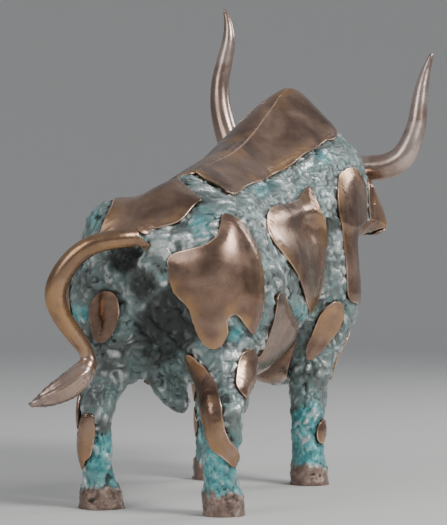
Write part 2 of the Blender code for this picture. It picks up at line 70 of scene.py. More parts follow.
# The hump's wall under the ridge, the plates' crown and the channels' lumps, as drawn
HUMP_FOOT = 165
HUMP_HALF_WIDTH = 44
HUMP_ROUNDING = 8
HUMP_SOFTNESS = 16
CREST_RADIUS = 12
PLATE_CROWN = 0.7
CROWN_WIDTH = 7
PLATE_REACH = 12
BARE_RISE = 2
LUMP_SIZE = 9

# How far the skin must face a view to show its plates
NEAR_FACING = -0.1
SIDE_FACING = 0.3

# How far round a shape its distance is worked out, and how the mesh is drawn on to the skin
FAR = 60
HUMP_REACH = 60
MUSCLE_MARGIN = 30
LIMB_MARGIN = 12
LONGEST_MOVE = 3
MOVE_SHARE = 0.9

# The plates' bevel along their right rims, rounded edge and hidden wall
BEVEL_DROP = 1.1
BEVEL_WIDTH = 7
EDGE_RADIUS = 0.4
EDGE_STEPS = 4
WALL = 4.2
RIM_ROUNDS = 6

# On the ridge the left plate is tucked under the right one
TUCK_DROP = 0.8
TUCK_WIDTH = 3
TUCK_OVERLAP = 1.4

# The channels run on under the plates, and dip beside them
UNDERLAP = 1.6
UNDER_START = 0.5
UNDER_GAP = 0.9
RIM_DEPTH = 0.6
PILLOW_SIZE = 5.2
PILLOW_RISE = 1.35
LEG_SHARE = 0.55
MOAT_DROP = 0.35
MOAT_WIDTH = 1.1
CRINKLE = 1.1
BESIDE = 4

# Muscles as ellipsoids: centre, radii, turn about X, Y and Z in degrees, softness of the join
MUSCLES = {
    "barrel": ((0, -12, 124), (50, 92, 60), (-8, 0, 0), 1),
    "rump": ((0, 50, 132), (40, 42, 40), (-14, 0, 0), 16),
    "haunch_right": ((-28, 52, 122), (24.5, 36, 46), (-6, 0, 0), 14),
    "haunch_left": ((34, 50, 120), (26, 36, 46), (-6, 0, 0), 14),
    "hip_left": ((35, 62, 153), (13.5, 15, 14), (0, 0, 0), 10),
    "chest": ((-3, -106, 112), (42, 36, 52), (10, 0, 0), 22),
    "shoulder_right": ((-33, -88, 146), (25, 34, 58), (-10, 8, 0), 16),
    "shoulder_left": ((29, -88, 144), (25, 34, 56), (-10, -8, 0), 16),
    "brisket": ((-2, -122, 92), (20, 20, 32), (14, 0, 0), 16),
    "scrotum": ((8, 50, 67), (9, 11, 20), (-18, 28, 0), 10),
    "brow": ((-17, -160, 186), (18, 12, 14), (-20, 0, -6), 8),
    "cheek_right": ((-29, -168, 168), (7, 12, 15), (-25, 0, 0), 8),
    "cheek_left": ((-5, -168, 168), (7, 12, 15), (-25, 0, 0), 8),
    "ear_right": ((-49, -151, 173.5), (6, 8.5, 18), (0, 24, 30), 4),
    "ear_left": ((17, -154, 176), (6, 8.5, 18), (0, -24, -30), 4),
    "eye_right": ((-33, -167, 177), (3.5, 5, 4), (-25, 0, 0), 1.5),
    "eye_left": ((-1, -167, 177), (3.5, 5, 4), (-25, 0, 0), 1.5),
}

# Limbs as tapered tubes: points x, y, z, radius, and the softness of the join
LIMBS = {
    "hind_leg_right": ([(-28, 50, 112, 25), (-26.5, 54, 88, 19.5), (-32.5, 66, 68, 15.6), (-36, 78, 53, 12),
                        (-34.5, 76, 34, 10.3), (-32.5, 73, 20, 10.2), (-34, 72, -4, 10)], 14),
    "hind_leg_left": ([(38, 48, 112, 26), (39, 52, 88, 19), (39.5, 64, 68, 12.8), (39.2, 74, 53, 10.6),
                       (40.6, 72, 34, 9.6), (40.4, 69, 20, 9), (40, 68, -4, 9)], 14),
    "foreleg_right": ([(-34, -90, 112, 21.8), (-33.3, -88, 86, 15.6), (-30.4, -84, 60, 12.9), (-30, -83, 44, 11.8),
                       (-30.3, -82, 28, 11), (-30.8, -82, -4, 10.6)], 14),
    "foreleg_left": ([(34, -92, 112, 23), (35, -92, 86, 17), (36, -90, 60, 12.8), (36, -89, 44, 11.6),
                      (36, -88, 28, 10.4), (36, -88, -4, 10.4)], 14),
    "neck": ([(-8, -100, 174, 42), (-12, -130, 168, 34), (-15, -150, 172, 24)], 20),
    "head": ([(-17, -158, 186, 19), (-17, -170, 167, 17), (-17, -182, 149, 13.5), (-16.5, -190, 136, 12)], 8),
    "muzzle": ([(-22, -192, 132, 8.5), (-11, -192, 132, 8.5)], 5),
    "horn_right": ([(-28, -152, 199, 8.6), (-46, -152, 199.5, 8.6), (-61, -153, 200.5, 8.4), (-71, -154, 205.5, 8),
                    (-77, -155, 215, 7.2), (-80.6, -157, 227, 6.3), (-82.3, -158, 240.5, 5.4), (-84, -159, 253, 4.3),
                    (-86.5, -160, 263.5, 3), (-90.4, -160, 274, 1.2)], 3),
    "horn_left": ([(0, -158, 197, 9), (16, -158, 197, 9.4), (34, -158, 201, 9.2), (46, -159, 212, 8.7),
                   (53.5, -160, 229, 7.9), (57.4, -160, 246, 7), (57.6, -160, 262, 6.1), (54.6, -160, 276, 5.5),
                   (51.5, -160, 290, 4.5), (51.7, -160, 302, 2.9), (54.3, -160, 312, 1.2)], 3),
    "tail_root": ([(-5, 80, 144, 7), (5, 91, 145.3, 5.8)], 3),
    "tail": ([(5, 91, 145.3, 5.6), (14, 101, 144.3, 5.1), (24.6, 107, 141.6, 5.1),
              (34.5, 110, 134.8, 5.4), (42.6, 111, 124, 5.7), (45.7, 110, 114.5, 5.6), (44, 107, 105, 5.2),
              (39.8, 101, 95.4, 4.7), (35.2, 96, 86.8, 4.1), (33.1, 95, 79.5, 3.8)], 3),
    "tuft": ([(33.1, 95, 80, 4), (35.9, 98, 73.5, 6.3), (41, 103, 67.5, 6.8), (48, 109, 62.6, 5.1),
              (57.5, 114, 57.8, 1.2)], 1),
    "hoof_hind_right": ([(-32.9, 72, 13, 10.3), (-33.9, 70.5, -4, 11.1)], 1.5),
    "hoof_hind_left": ([(39.4, 68, 13, 9.8), (39.2, 66.5, -4, 13)], 1.5),
    "hoof_fore_right": ([(-31, -82, 13, 11.2), (-30.6, -84, -4, 12.4)], 1.5),
    "hoof_fore_left": ([(36, -88, 13, 11.2), (36, -90, -4, 12.8)], 1.5),
}

# One drawn unit in metres: the tip of the left horn is the figure's height
UNIT = HEIGHT / LIMBS["horn_left"][0][-1][2]

# Bare bronze limbs, which no channel crosses
BARE = ("horn_right", "horn_left", "tail", "tuft", "head", "muzzle")
BARE_MUSCLES = ("ear_right", "ear_left", "eye_right", "eye_left", "brow", "cheek_right", "cheek_left")

# Boxes round the thin tips of the horns and the tuft: low and high corners
BARE_TIPS = [((-120, -180, 215), (80, -145, 320)), ((46, 100, 50), (70, 125, 68))]

# The ridge from the loin to the top of the hump: x, y, z, the level width on its left, the rounding on its right
RIDGE = [(2, 66, 172, 3, 1), (-2.3, 34, 183.7, 8, 0.5), (-2.6, 10, 190.2, 12, 0.5), (-4, -22, 200.3, 16, 0.5),
         (-4, -50, 211.7, 17, 0.5), (-7.4, -75, 229.6, 13, 0.5), (-10, -95, 244.5, 7, 0.5),
         (-12, -110, 250, 4, 4), (-13, -128, 242.5, 2, 14), (-14, -142, 224, 0, 20), (-15, -156, 207, 0, 20)]
RIDGE_SLOPE = 46

# A seat behind the right hip, from which the near plates are drawn on a plane through the origin
EYE = (-336, 859, 110)
EYE_TURN = 21
EYE_REACH = 922

# Plates drawn from that seat: across and up
NEAR_PLATES = {
    "saddle": [(-17, 188), (-11, 183), (-5, 180), (0, 177), (3, 174), (8, 174.5), (14, 179), (24, 182.5), (30, 186),
               (36, 189), (42, 193), (48, 198), (53, 200), (58, 204), (66, 208), (62, 224), (52, 242), (38, 246),
               (24, 236), (8, 216), (-6, 202), (-16, 194)],
    "rump": [(-70, 157), (-64, 170), (-60, 184), (-40, 190), (-26, 184), (-18, 177), (-12, 172), (-16, 169),
             (-20, 165), (-24, 160), (-28, 157), (-36, 155), (-46, 150), (-60, 146), (-72, 146)],
    "haunch": [(0, 164), (5, 163), (10, 160), (14, 156), (18, 150), (22, 142), (24, 134), (25, 125), (25.5, 116),
               (24, 106), (22, 99), (18, 92), (14, 96), (10.5, 101), (7.5, 104.5), (4, 103), (2.5, 99), (3, 94),
               (1, 88), (-2, 85), (-7, 84), (-12, 88), (-16, 94), (-18, 100), (-20, 107), (-25, 113), (-29, 117),
               (-31, 123), (-32, 131), (-33, 137), (-30, 139.5), (-20, 142.5), (-11, 145), (-4, 150), (-2, 156)],
    "ribs": [(50, 180), (43, 172), (38, 169), (32, 168.5), (27, 166), (25, 161), (25, 156), (26, 151), (29, 146),
             (33, 141), (37, 136), (41, 130), (44, 124), (46, 117), (48, 110), (50, 104.5), (54, 108), (57, 115),
             (59, 124), (60, 134), (61, 145), (60.5, 155), (58, 164), (54, 173)],
    "shoulder": [(68, 187), (66, 182), (66, 168), (67.5, 158), (69, 148), (70, 138), (71, 126), (71, 118),
                 (73, 112), (82, 112), (88, 130), (90, 160), (84, 180), (76, 190)],
    "belly": [(28, 114), (32, 117), (37, 115), (40.5, 106), (44, 99), (43.5, 92), (40, 82), (36.5, 72), (34, 58),
              (28, 52), (18, 56), (17, 75), (20, 84), (22, 93), (23, 101), (25, 109)],
    "forearm": [(58, 108), (64, 112), (70, 110), (71, 103), (68, 96), (64, 91), (60, 86), (55, 81), (48, 77),
                (47, 84), (50, 92), (54, 101)],
    "thigh_inner": [(-70, 118), (-64, 117), (-61, 112), (-60, 105), (-62, 97), (-66, 90), (-71, 87), (-75, 90),
                    (-77, 98), (-78, 107), (-75, 115)],
    "gaskin": [(10, 81), (14, 84), (18.5, 84), (22, 78), (20, 65), (15, 56), (12, 57), (9, 61), (7, 66), (8, 73)],
    "shank": [(-22, 82), (-14, 76), (-9, 71), (-5, 66), (-3, 58), (-1, 50), (0, 42), (3, 33), (8, 28), (11, 24),
              (9, 17), (5, 17), (0, 22), (-5, 25), (-9, 30), (-13, 40), (-17, 52), (-20, 64), (-23, 74)],
    "shin_left": [(-80, 48), (-75, 46), (-74, 36), (-76, 24), (-79, 20), (-84, 26), (-84, 42)],
    "knee": [(53, 38), (57, 44), (62, 42), (61, 33), (55, 30)],
}

# Boxes that keep the near plates off what stands behind them: low and high corners
NEAR_BOXES = {
    "rump": ((-60, 0, 130), (60, 110, 220)),
    "haunch": ((-70, 12, 60), (10, 110, 190)),
    "ribs": ((-70, -64, 80), (10, 50, 200)),
    "shoulder": ((-80, -122, 90), (-20, -40, 200)),
    "belly": ((-70, -100, 40), (40, 48, 140)),
    "forearm": ((-70, -130, 60), (-10, -56, 130)),
    "thigh_inner": ((14, 20, 60), (80, 110, 140)),
    "gaskin": ((-70, 40, 30), (-10, 110, 100)),
    "shank": ((-70, 40, 0), (-10, 110, 100)),
    "shin_left": ((15, 30, 0), (80, 110, 70)),
    "knee": ((-70, -110, 0), (-5, -56, 60)),
}
SIDE_BOXES = {
    "left": ((18, -170, 0), (90, 130, 320)),
    "right": ((-90, -170, 0), (-12, 130, 320)),
    "front": ((-90, -230, 0), (90, -70, 320)),
}

# Plates drawn on the left flank: along and up
LEFT_PLATES = {
    "haunch": [(22, 150), (34, 158), (46, 160), (58, 156), (66, 146), (70, 134), (71, 118), (70, 104), (66, 95),
               (62, 99), (58, 92), (54, 82), (48, 78), (42, 86), (34, 94), (24, 104), (18, 116), (14, 130), (16, 142)],
    "ribs": [(-48, 172), (-34, 176), (-16, 172), (0, 164), (8, 154), (8, 140), (4, 128), (0, 116), (-8, 106),
             (-18, 100), (-26, 104), (-34, 114), (-42, 126), (-48, 142), (-50, 158)],
    "shoulder": [(-62, 182), (-58, 168), (-60, 150), (-58, 132), (-62, 116), (-70, 104), (-82, 98), (-94, 100),
                 (-100, 112), (-102, 128), (-108, 146), (-112, 164), (-104, 178), (-90, 188), (-74, 190)],
    "chest": [(-108, 124), (-116, 130), (-124, 124), (-130, 112), (-128, 98), (-120, 88), (-110, 86), (-104, 94),
              (-106, 108)],
    "belly": [(-52, 92), (-40, 88), (-28, 86), (-16, 90), (-4, 94), (6, 90), (14, 84), (20, 76), (14, 66), (0, 60),
              (-20, 56), (-40, 56), (-54, 62), (-60, 74), (-58, 86)],
    "hump": [(36, 178), (24, 174), (8, 172), (-6, 178), (-20, 184), (-36, 186), (-50, 186), (-60, 192), (-76, 200),
             (-96, 200), (-112, 196), (-124, 204), (-132, 224), (-120, 264), (-80, 262), (-40, 236), (0, 214),
             (36, 200)],
    "neck": [(-122, 190), (-118, 178), (-122, 160), (-128, 146), (-136, 142), (-144, 150), (-148, 166), (-146, 182),
             (-136, 194)],
    "forearm": [(-108, 78), (-98, 88), (-86, 90), (-78, 84), (-76, 70), (-80, 56), (-88, 48), (-96, 52), (-102, 64)],
    "gaskin": [(38, 70), (48, 78), (60, 78), (70, 70), (80, 60), (82, 48), (76, 42), (68, 50), (60, 58), (50, 62)],
    "shin": [(64, 40), (72, 44), (80, 38), (80, 26), (74, 20), (66, 24)],
    "knee": [(-98, 40), (-90, 46), (-82, 42), (-80, 32), (-86, 26), (-96, 28)],
}

# Plates drawn on the right flank: along and up
RIGHT_PLATES = {
    "neck": [(-130, 190), (-128, 176), (-131, 160), (-137, 148), (-145, 148), (-151, 160), (-152, 176), (-146, 190),
             (-137, 197)],
}

# Plates drawn from the front: across and up
FRONT_PLATES = {
    "breast": [(-22, 128), (0, 134), (20, 126), (26, 106), (18, 84), (2, 72), (-14, 80), (-28, 98), (-30, 116)],
    "hump": [(-34, 236), (-12, 262), (8, 240), (14, 222), (-4, 214), (-24, 214), (-38, 220)],
    "forearm_right": [(-50, 96), (-38, 100), (-26, 92), (-26, 74), (-34, 62), (-46, 66), (-52, 80)],
    "forearm_left": [(24, 92), (36, 98), (48, 94), (50, 78), (42, 62), (32, 62), (24, 76)],
}

VIEWS = {"near": NEAR_PLATES, "left": LEFT_PLATES, "right": RIGHT_PLATES, "front": FRONT_PLATES}

# Beyond the horizon of its view a plate ends
HORIZON = 26

# A strip of channel is left between plates and bare limbs
BARE_GAP = 1.2
SNAP = 0.3
SMALLEST_PATCH = 60
HOOF_TOP = 12
SURFACE_VALUES = ("rim", "peak", "teal_and_shade", "hoof", "edge_wear_and_highlight", "tone")
HUMP_COLUMN = 12
BRONZE_COLUMN = 13
CHANNEL_COLUMN = 14
LIMB_RIM = 6

# The head is bare bronze in front of a ragged edge, and the channels' two pieces meet at a seam
HEAD_BACK = -153
HEAD_RAGS = 2
SEAM = -3.3

# The ragged end of the bare tail at its root
ROOT_REACH = 7
ROOT_RAGS = 5

# Cast lumps in the channels, seen from the seat: across, up, half width, half height, rise
BOULDERS = [(34, 180, 7, 9, 3), (-38, 150, 8, 4, 2), (-25, 149, 7, 5, 2.4), (66, 150, 3.5, 12, 1.2),
            (65, 128, 3.5, 9, 1.2), (34, 128, 7, 9, 1.6), (45, 108, 5, 8, 1.6), (-60, 145, 9, 4, 2)]

# Blue-green patches in the channels: across, up, size, amount
TEAL_PATCHES = [(-14, 157, 12, 0.7), (24, 178, 9, 0.5), (57, 195, 10, 0.4), (8, 93, 9, 0.6), (45, 106, 7, 0.6),
                (-40, 128, 9, 0.5), (-3, 16, 14, 1.0), (48, 38, 16, 1.0), (-72, 24, 16, 1.0), (62, 112, 7, 0.5),
                (-84, 105, 7, 0.9), (-75, 160, 10, 0.4)]

# Painted shade, near black, in the recesses under the tail, between the thighs and beside the haunch: across, up,
# size, amount
PAINTED_SHADE_PATCHES = [(-58, 137, 10, 1.2), (-45, 122, 12, 1.1), (-33, 110, 12, 1.3), (-26, 94, 11, 1.2), (-41, 96, 12, 1.1),
                (-36, 81, 10, 0.8), (28, 96, 6, 0.7)]

# Where the edges are worn bright and painted with highlights: across, up, size
WORN_AND_HIGHLIT_SPOTS = [(-22, 144, 9, 1), (-8, 146, 9, 1), (28, 152, 8, 1), (36, 138, 9, 1), (60, 118, 8, 1),
                (22, 110, 9, 1), (-62, 168, 8, 1)]

# Painted highlights: silvery stretches of the channels; and folds under the tail: across, up, size, amount
PAINTED_HIGHLIGHT_PATCHES = [(66, 165, 9, 0.8), (66, 145, 9, 0.9), (66, 125, 9, 0.8), (34, 181, 9, 0.5), (-36, 150, 10, 0.8),
                  (-20, 150, 9, 0.7), (3, 178, 9, 0.5), (-64, 124, 7, 0.5), (-10, 82, 8, 0.6), (5, 84, 8, 0.6),
                  (26, 155, 8, 0.6), (-67, 66, 10, 0.45), (-60, 54, 9, 0.4), (12, 70, 9, 0.4)]
FOLD_PATCHES = [(-62, 128, 14, 1), (-42, 122, 15, 1), (-30, 104, 15, 1), (-40, 92, 14, 0.6), (-48, 145, 10, 0.6)]
FOLD_TURN = 40
FOLD_SIZE = 11
FOLD_RISE = 2.6

# The tuft's strands, and the nostrils, ears and mouth of the face
STRANDS = 9
STRAND_DEPTH = 0.55
HOLLOWS = [((-24.5, -199, 133), 2.4, 1.5), ((-8.5, -199, 133), 2.4, 1.5), ((-47, -160, 172), 7, 2.2),
           ((15, -163, 175), 7, 2.2)]
MOUTH_HEIGHT = 126.5
MOUTH_DEPTH = 0.9

# How pale the horns and the tuft are, and how golden the tail
TONES = {"horn_left": 1, "horn_right": 1, "tuft": 1, "tail": -1}

# Colours of the finishes
BRONZE_BROWNS = [(0.3, (0.13, 0.08, 0.058)), (0.46, (0.24, 0.152, 0.114)), (0.6, (0.36, 0.235, 0.175)),
                 (0.74, (0.48, 0.32, 0.235))]
GOLDEN = (0.5, 0.29, 0.14)
PALE_BRONZE = (0.6, 0.48, 0.43)
# A worn edge colour that also stands for painted highlights along the rims
WORN_AND_HIGHLIT_EDGE = (0.9, 0.62, 0.46)
VERDIGRIS_GREENS = [(0.3, (0.075, 0.09, 0.086)), (0.46, (0.155, 0.19, 0.182)), (0.6, (0.17, 0.26, 0.25)),
                    (0.75, (0.34, 0.41, 0.4))]
TEALS = [(0.34, (0.025, 0.15, 0.165)), (0.5, (0.08, 0.4, 0.42)), (0.66, (0.25, 0.62, 0.63))]
# Painted shade: the near black of the recesses and of the crevices
PAINTED_RECESS_SHADE = (0.02, 0.026, 0.024)
PAINTED_CREVICE_SHADE = (0.01, 0.012, 0.011)
# Painted highlight: the silver of the glints on the channels' high spots
PAINTED_GLINT = (0.74, 0.78, 0.76)
HOOF_BROWNS = [(0.35, (0.13, 0.088, 0.07)), (0.55, (0.32, 0.22, 0.175)), (0.75, (0.6, 0.45, 0.37))]

# Lamps: place, power in watts and size in metres
LAMPS = [("key", (-1.1, 0.35, 0.95), 16, 0.5), ("fill", (0.55, 1.3, 0.8), 6, 0.8), ("back", (-0.9, -1.1, 0.9), 7, 0.5)]
ROOM = (0.46, 0.48, 0.51)
ROOM_STRENGTH = 0.7
SWEEP_START = 3.0
SWEEP_RADIUS = 2.0
SWEEP_STEPS = 16
SWEEP_SIDES = 64
FLOOR_GAP = 0.0002
FLOOR = (0.7, 0.69, 0.67)

# The camera's exact seat as drawn, its rise over the level, and its focal length in the photo's pixels
EYE_EXACT = (-335.8, 858.7, 110)
EYE_RISE = 1.5215
FOCAL_PIXELS = 1600


def through(points, step=3.0):
    """Points about step apart on a smooth curve through the given ones, radius included."""
    given = np.array(points, float)
    ends = np.vstack([2 * given[0] - given[1], given, 2 * given[-1] - given[-2]])
    curve = []
    for a, b, c, d in zip(ends, ends[1:], ends[2:], ends[3:]):
        count = max(int(np.linalg.norm(c[:3] - b[:3]) / step), 1)
        for t in np.arange(count) / count:
            curve.append(0.5 * (2 * b + (c - a) * t + (2 * a - 5 * b + 4 * c - d) * t ** 2
                                + (3 * b - a - 3 * c + d) * t ** 3))
    curve.append(given[-1])
    return np.array(curve)


def turned(angles):
    """The matrix that turns a muscle's own axes into the figure's."""
    return Euler([math.radians(angle) for angle in angles], "XYZ").to_matrix()


def near(points, low, high, margin):
    """Indices of the points inside a box and a margin round it."""
    return np.where(((points > low - margin) & (points < high + margin)).all(1))[0]


def muscle_distance(points, centre, radii, angles):
    """Approximate distance from each point to an ellipsoid."""
    local = (points - np.array(centre, float)) @ np.array(turned(angles))
    sizes = np.array(radii, float)
    reach = np.linalg.norm(local / sizes, axis=1)
    slope = np.linalg.norm(local / sizes ** 2, axis=1)
    return reach * (reach - 1) / np.maximum(slope, 1e-6)


def limb_distance(points, curve):
    """Distance from each point to a tube of changing radius."""
    nearest = np.full(len(points), 1e3)
    for start, end in zip(curve, curve[1:]):
        run = end[:3] - start[:3]
        along = np.clip((points - start[:3]) @ run / (run @ run), 0, 1)
        gap = np.linalg.norm(points - start[:3] - along[:, None] * run, axis=1)
        nearest = np.minimum(nearest, gap - start[3] - along * (end[3] - start[3]))
    return nearest


def join_softly(whole, extra, softness):
    """The smaller of two distances, rounded where they are nearly equal."""
    overlap = np.maximum(softness - np.abs(whole - extra), 0) / softness
    return np.minimum(whole, extra) - overlap ** 2 * softness / 4


def ridge_gap(points):
    """Height of each point over the roof that falls to both sides of the ridge, and its side."""
    line = through(RIDGE)[::-1]
    across, top, level, rounding = (np.interp(points[:, 1], line[:, 1], line[:, column]) for column in (0, 2, 3, 4))
    sideways = points[:, 0] - across
    steep = math.tan(math.radians(RIDGE_SLOPE))
    right = (top - points[:, 2] + steep * sideways) / math.hypot(1, steep)
    left = (top - points[:, 2] - steep * (sideways - level)) / math.hypot(1, steep)
    over = -join_softly(top - points[:, 2], left, HUMP_ROUNDING)
    return -join_softly(-over, right, np.maximum(rounding, 0.1)), sideways


def hump_distance(points):
    """Distance from each point to the hump, a thick wall whose top is the roof along the ridge."""
    line = np.array(RIDGE, float)[::-1]
    over, sideways = ridge_gap(points)
    ends = np.maximum(line[0, 1] - points[:, 1], points[:, 1] - line[-1, 1])
    low = HUMP_FOOT - points[:, 2]
    walls = np.maximum(np.abs(sideways) - HUMP_HALF_WIDTH, low)
    return -join_softly(-over, -np.maximum(walls, ends), HUMP_ROUNDING)


def flesh_distance(points, curves):
    """Distance from each point to the bull's skin, before any plates."""
    whole = np.full(len(points), float(FAR))
    for centre, radii, angles, softness in MUSCLES.values():
        reach = max(radii) + softness + MUSCLE_MARGIN
        some = near(points, np.array(centre) - reach, np.array(centre) + reach, 0)
        extra = muscle_distance(points[some], centre, radii, angles)
        whole[some] = join_softly(whole[some], extra, softness)
    line = np.array(RIDGE, float)[:, :3]
    some = near(points, line.min(0), line.max(0), HUMP_REACH)
    whole[some] = join_softly(whole[some], hump_distance(points[some]), HUMP_SOFTNESS)
    for name, (_, softness) in LIMBS.items():
        curve = curves[name]
        margin = curve[:, 3].max() + softness + LIMB_MARGIN
        some = near(points, curve[:, :3].min(0), curve[:, :3].max(0), margin)
        whole[some] = join_softly(whole[some], limb_distance(points[some], curve), softness)
    return whole


def rough_shape(curves):
    """The muscles and limbs as plain solids in one mesh, made one skin by a voxel remesh."""
    bm = bmesh.new()
    for centre, radii, angles, _ in MUSCLES.values():
        place = Matrix.Translation(centre) @ turned(angles).to_4x4() @ Matrix.Diagonal((*radii, 1))
        bmesh.ops.create_uvsphere(bm, u_segments=32, v_segments=20, radius=1, matrix=place)
    mesh = bpy.data.meshes.new("flesh")
    bm.to_mesh(mesh)
    bm.free()
    parts = [bpy.data.objects.new("flesh", mesh)]
    crest = through([(x, y, z - CREST_RADIUS - rounding / 2, CREST_RADIUS) for x, y, z, _, rounding in RIDGE])
    for name, curve in [*curves.items(), ("ridge", crest)]:
        line = bpy.data.curves.new(name, "CURVE")
        line.dimensions = "3D"
        line.bevel_depth = 1
        line.bevel_resolution = 3
        line.use_fill_caps = True
        spline = line.splines.new("POLY")
        spline.points.add(len(curve) - 1)
        for point, (x, y, z, radius) in zip(spline.points, curve):
            point.co = (x, y, z, 1)
            point.radius = max(radius, COARSE_GRAIN * 0.8)
        parts.append(bpy.data.objects.new(name, line))
    for part in parts:
        bpy.context.scene.collection.objects.link(part)
    tubes = bmesh.new()
    for part in parts:
        view = bpy.context.evaluated_depsgraph_get()
        solid = bpy.data.meshes.new_from_object(part.evaluated_get(view))
        tubes.from_mesh(solid)
    for part in parts:
        bpy.data.objects.remove(part)
    bmesh.ops.remove_doubles(tubes, verts=tubes.verts, dist=0.0001)
    joined = bpy.data.meshes.new("bull")
    tubes.to_mesh(joined)
    tubes.free()
    return joined


def evaluated(thing):
    """A plain mesh of the object with its modifiers."""
    view = bpy.context.evaluated_depsgraph_get()
    return bpy.data.meshes.new_from_object(thing.evaluated_get(view))


def reskin(figure, grain):
    """One even skin round everything in the object, with the inner walls gone."""
    skin = figure.modifiers.new("Skin", "REMESH")
    skin.mode = "VOXEL"
    skin.voxel_size = grain
    mesh = evaluated(figure)
    figure.modifiers.remove(skin)
    figure.data = mesh


def coordinates(mesh):
    """The mesh's points as an array."""
    flat = np.empty(len(mesh.vertices) * 3)
    mesh.vertices.foreach_get("co", flat)
    return flat.reshape(-1, 3)


def normals_of(mesh):
    """The mesh's outward directions as an array."""
    flat = np.empty(len(mesh.vertices) * 3)
    mesh.vertices.foreach_get("normal", flat)
    return flat.reshape(-1, 3)


def place_points(mesh, points):
    """Move the mesh's points."""
    mesh.vertices.foreach_set("co", points.ravel())
    mesh.update()


def edge_ends(mesh):
    """The two points of every edge."""
    flat = np.empty(len(mesh.edges) * 2, int)
    mesh.edges.foreach_get("vertices", flat)
    return flat.reshape(-1, 2)


def evened(points, ends, amount):
    """Each point moved part of the way to the middle of its neighbours."""
    count = len(points)
    shared = np.bincount(ends.ravel(), minlength=count)[:, None]
    middle = np.empty_like(points)
    for axis in range(3):
        middle[:, axis] = (np.bincount(ends[:, 0], points[ends[:, 1], axis], count)
                           + np.bincount(ends[:, 1], points[ends[:, 0], axis], count))
    return points + amount * (middle / shared - points)


def fit_to_flesh(mesh, curves, rounds):
    """Even out the mesh and lay it on the bull's skin."""
    ends = edge_ends(mesh)
    for turn in range(rounds):
        points = coordinates(mesh)
        if turn < rounds - 3:
            points = evened(points, ends, 0.5)
            place_points(mesh, points)
        gap = np.clip(flesh_distance(points, curves), -LONGEST_MOVE, LONGEST_MOVE)
        place_points(mesh, points - MOVE_SHARE * gap[:, None] * normals_of(mesh))


def rounded_outline(corners, cuts=4):
    """A closed outline led smoothly through its corners."""
    given = np.array(corners, float)
    before, after, beyond = (np.roll(given, shift, axis=0) for shift in (1, -1, -2))
    steps = []
    for t in np.arange(cuts) / cuts:
        steps.append(0.5 * (2 * given + (after - before) * t + (2 * before - 5 * given + 4 * after - beyond) * t ** 2
                            + (3 * given - before - 3 * after + beyond) * t ** 3))
    return np.stack(steps, 1).reshape(-1, 2)


def depth_inside(flat, corners, reach):
    """How far each flat point lies inside an outline, less than zero outside it, and its direction."""
    outline = rounded_outline(corners)
    depth = np.full(len(flat), -reach)
    inward = np.zeros((len(flat), 2))
    some = near(flat, outline.min(0), outline.max(0), reach)
    spots = flat[some]
    closest = np.full(len(spots), 1e3)
    offset = np.zeros((len(spots), 2))
    crossings = np.zeros(len(spots), int)
    for start, end in zip(outline, np.roll(outline, -1, axis=0)):
        run = end - start
        along = np.clip((spots - start) @ run / (run @ run), 0, 1)
        away = spots - start - along[:, None] * run
        gap = np.linalg.norm(away, axis=1)
        nearer = gap < closest
        closest[nearer] = gap[nearer]
        offset[nearer] = away[nearer]
        spans = (start[1] > spots[:, 1]) != (end[1] > spots[:, 1])
        if run[1]:
            spans &= spots[:, 0] < start[0] + run[0] * (spots[:, 1] - start[1]) / run[1]
            crossings += spans
    side = np.where(crossings % 2, 1.0, -1.0)
    depth[some] = np.maximum(side * closest, -reach)
    inward[some] = side[:, None] * offset / np.maximum(closest, 1e-6)[:, None]
    return depth, inward


def drawn_from(points, normals, view):
    """Flat places of the points as drawn from one view, the drawing's axes, and how far they face it."""
    turn = math.radians(EYE_TURN)
    if view == "near":
        ahead = np.array((math.sin(turn), -math.cos(turn), 0))
        across = np.array((-math.cos(turn), -math.sin(turn), 0))
        reach = points - np.array(EYE)
        scale = EYE_REACH / (reach @ ahead)
        flat = np.stack((scale * (reach @ across), EYE[2] + scale * reach[:, 2]), 1)
        sight = reach / np.linalg.norm(reach, axis=1)[:, None]
        return flat, across, -(normals * sight).sum(1)
    if view in ("left", "right"):
        return points[:, 1:], np.array((0, 1, 0)), normals[:, 0] * (1 if view == "left" else -1)
    return points[:, [0, 2]], np.array((1, 0, 0)), -normals[:, 1]


def kept_inside(points, depth, view, name):
    """A plate's depth, cut short at the sides of its box."""
    box = NEAR_BOXES.get(name) if view == "near" else SIDE_BOXES[view]
    if box is None or name == "hump":
        return depth
    low, high = np.array(box, float)
    return np.minimum(depth, np.minimum(points - low, high - points).min(1))


def bare_depth(points, curves):
    """How far each point lies on a bare bronze limb, such as a horn, the tail or a hoof."""
    nearest = np.full(len(points), float(PLATE_REACH))
    for name in BARE:
        curve = curves[name]
        some = near(points, curve[:, :3].min(0), curve[:, :3].max(0), curve[:, 3].max() + PLATE_REACH)
        nearest[some] = np.minimum(nearest[some], limb_distance(points[some], curve))
    for name in BARE_MUSCLES:
        centre, radii, angles, _ = MUSCLES[name]
        nearest = np.minimum(nearest, muscle_distance(points, centre, radii, angles))
    for low, high in BARE_TIPS:
        tip = ((points > low) & (points < high)).all(1)
        nearest[tip] = np.minimum(nearest[tip], 0)
    return BARE_RISE - nearest


def eased(values, low, high):
    """A smooth step from 0 at low to 1 at high."""
    share = np.clip((values - low) / (high - low), 0, 1)
    return share * share * (3 - 2 * share)


def lumps(points, size):
    """Rough casting lumps between -1 and 1."""
    return np.array([noise.fractal(Vector(point) / size, 0.8, 2.1, 3) for point in points])


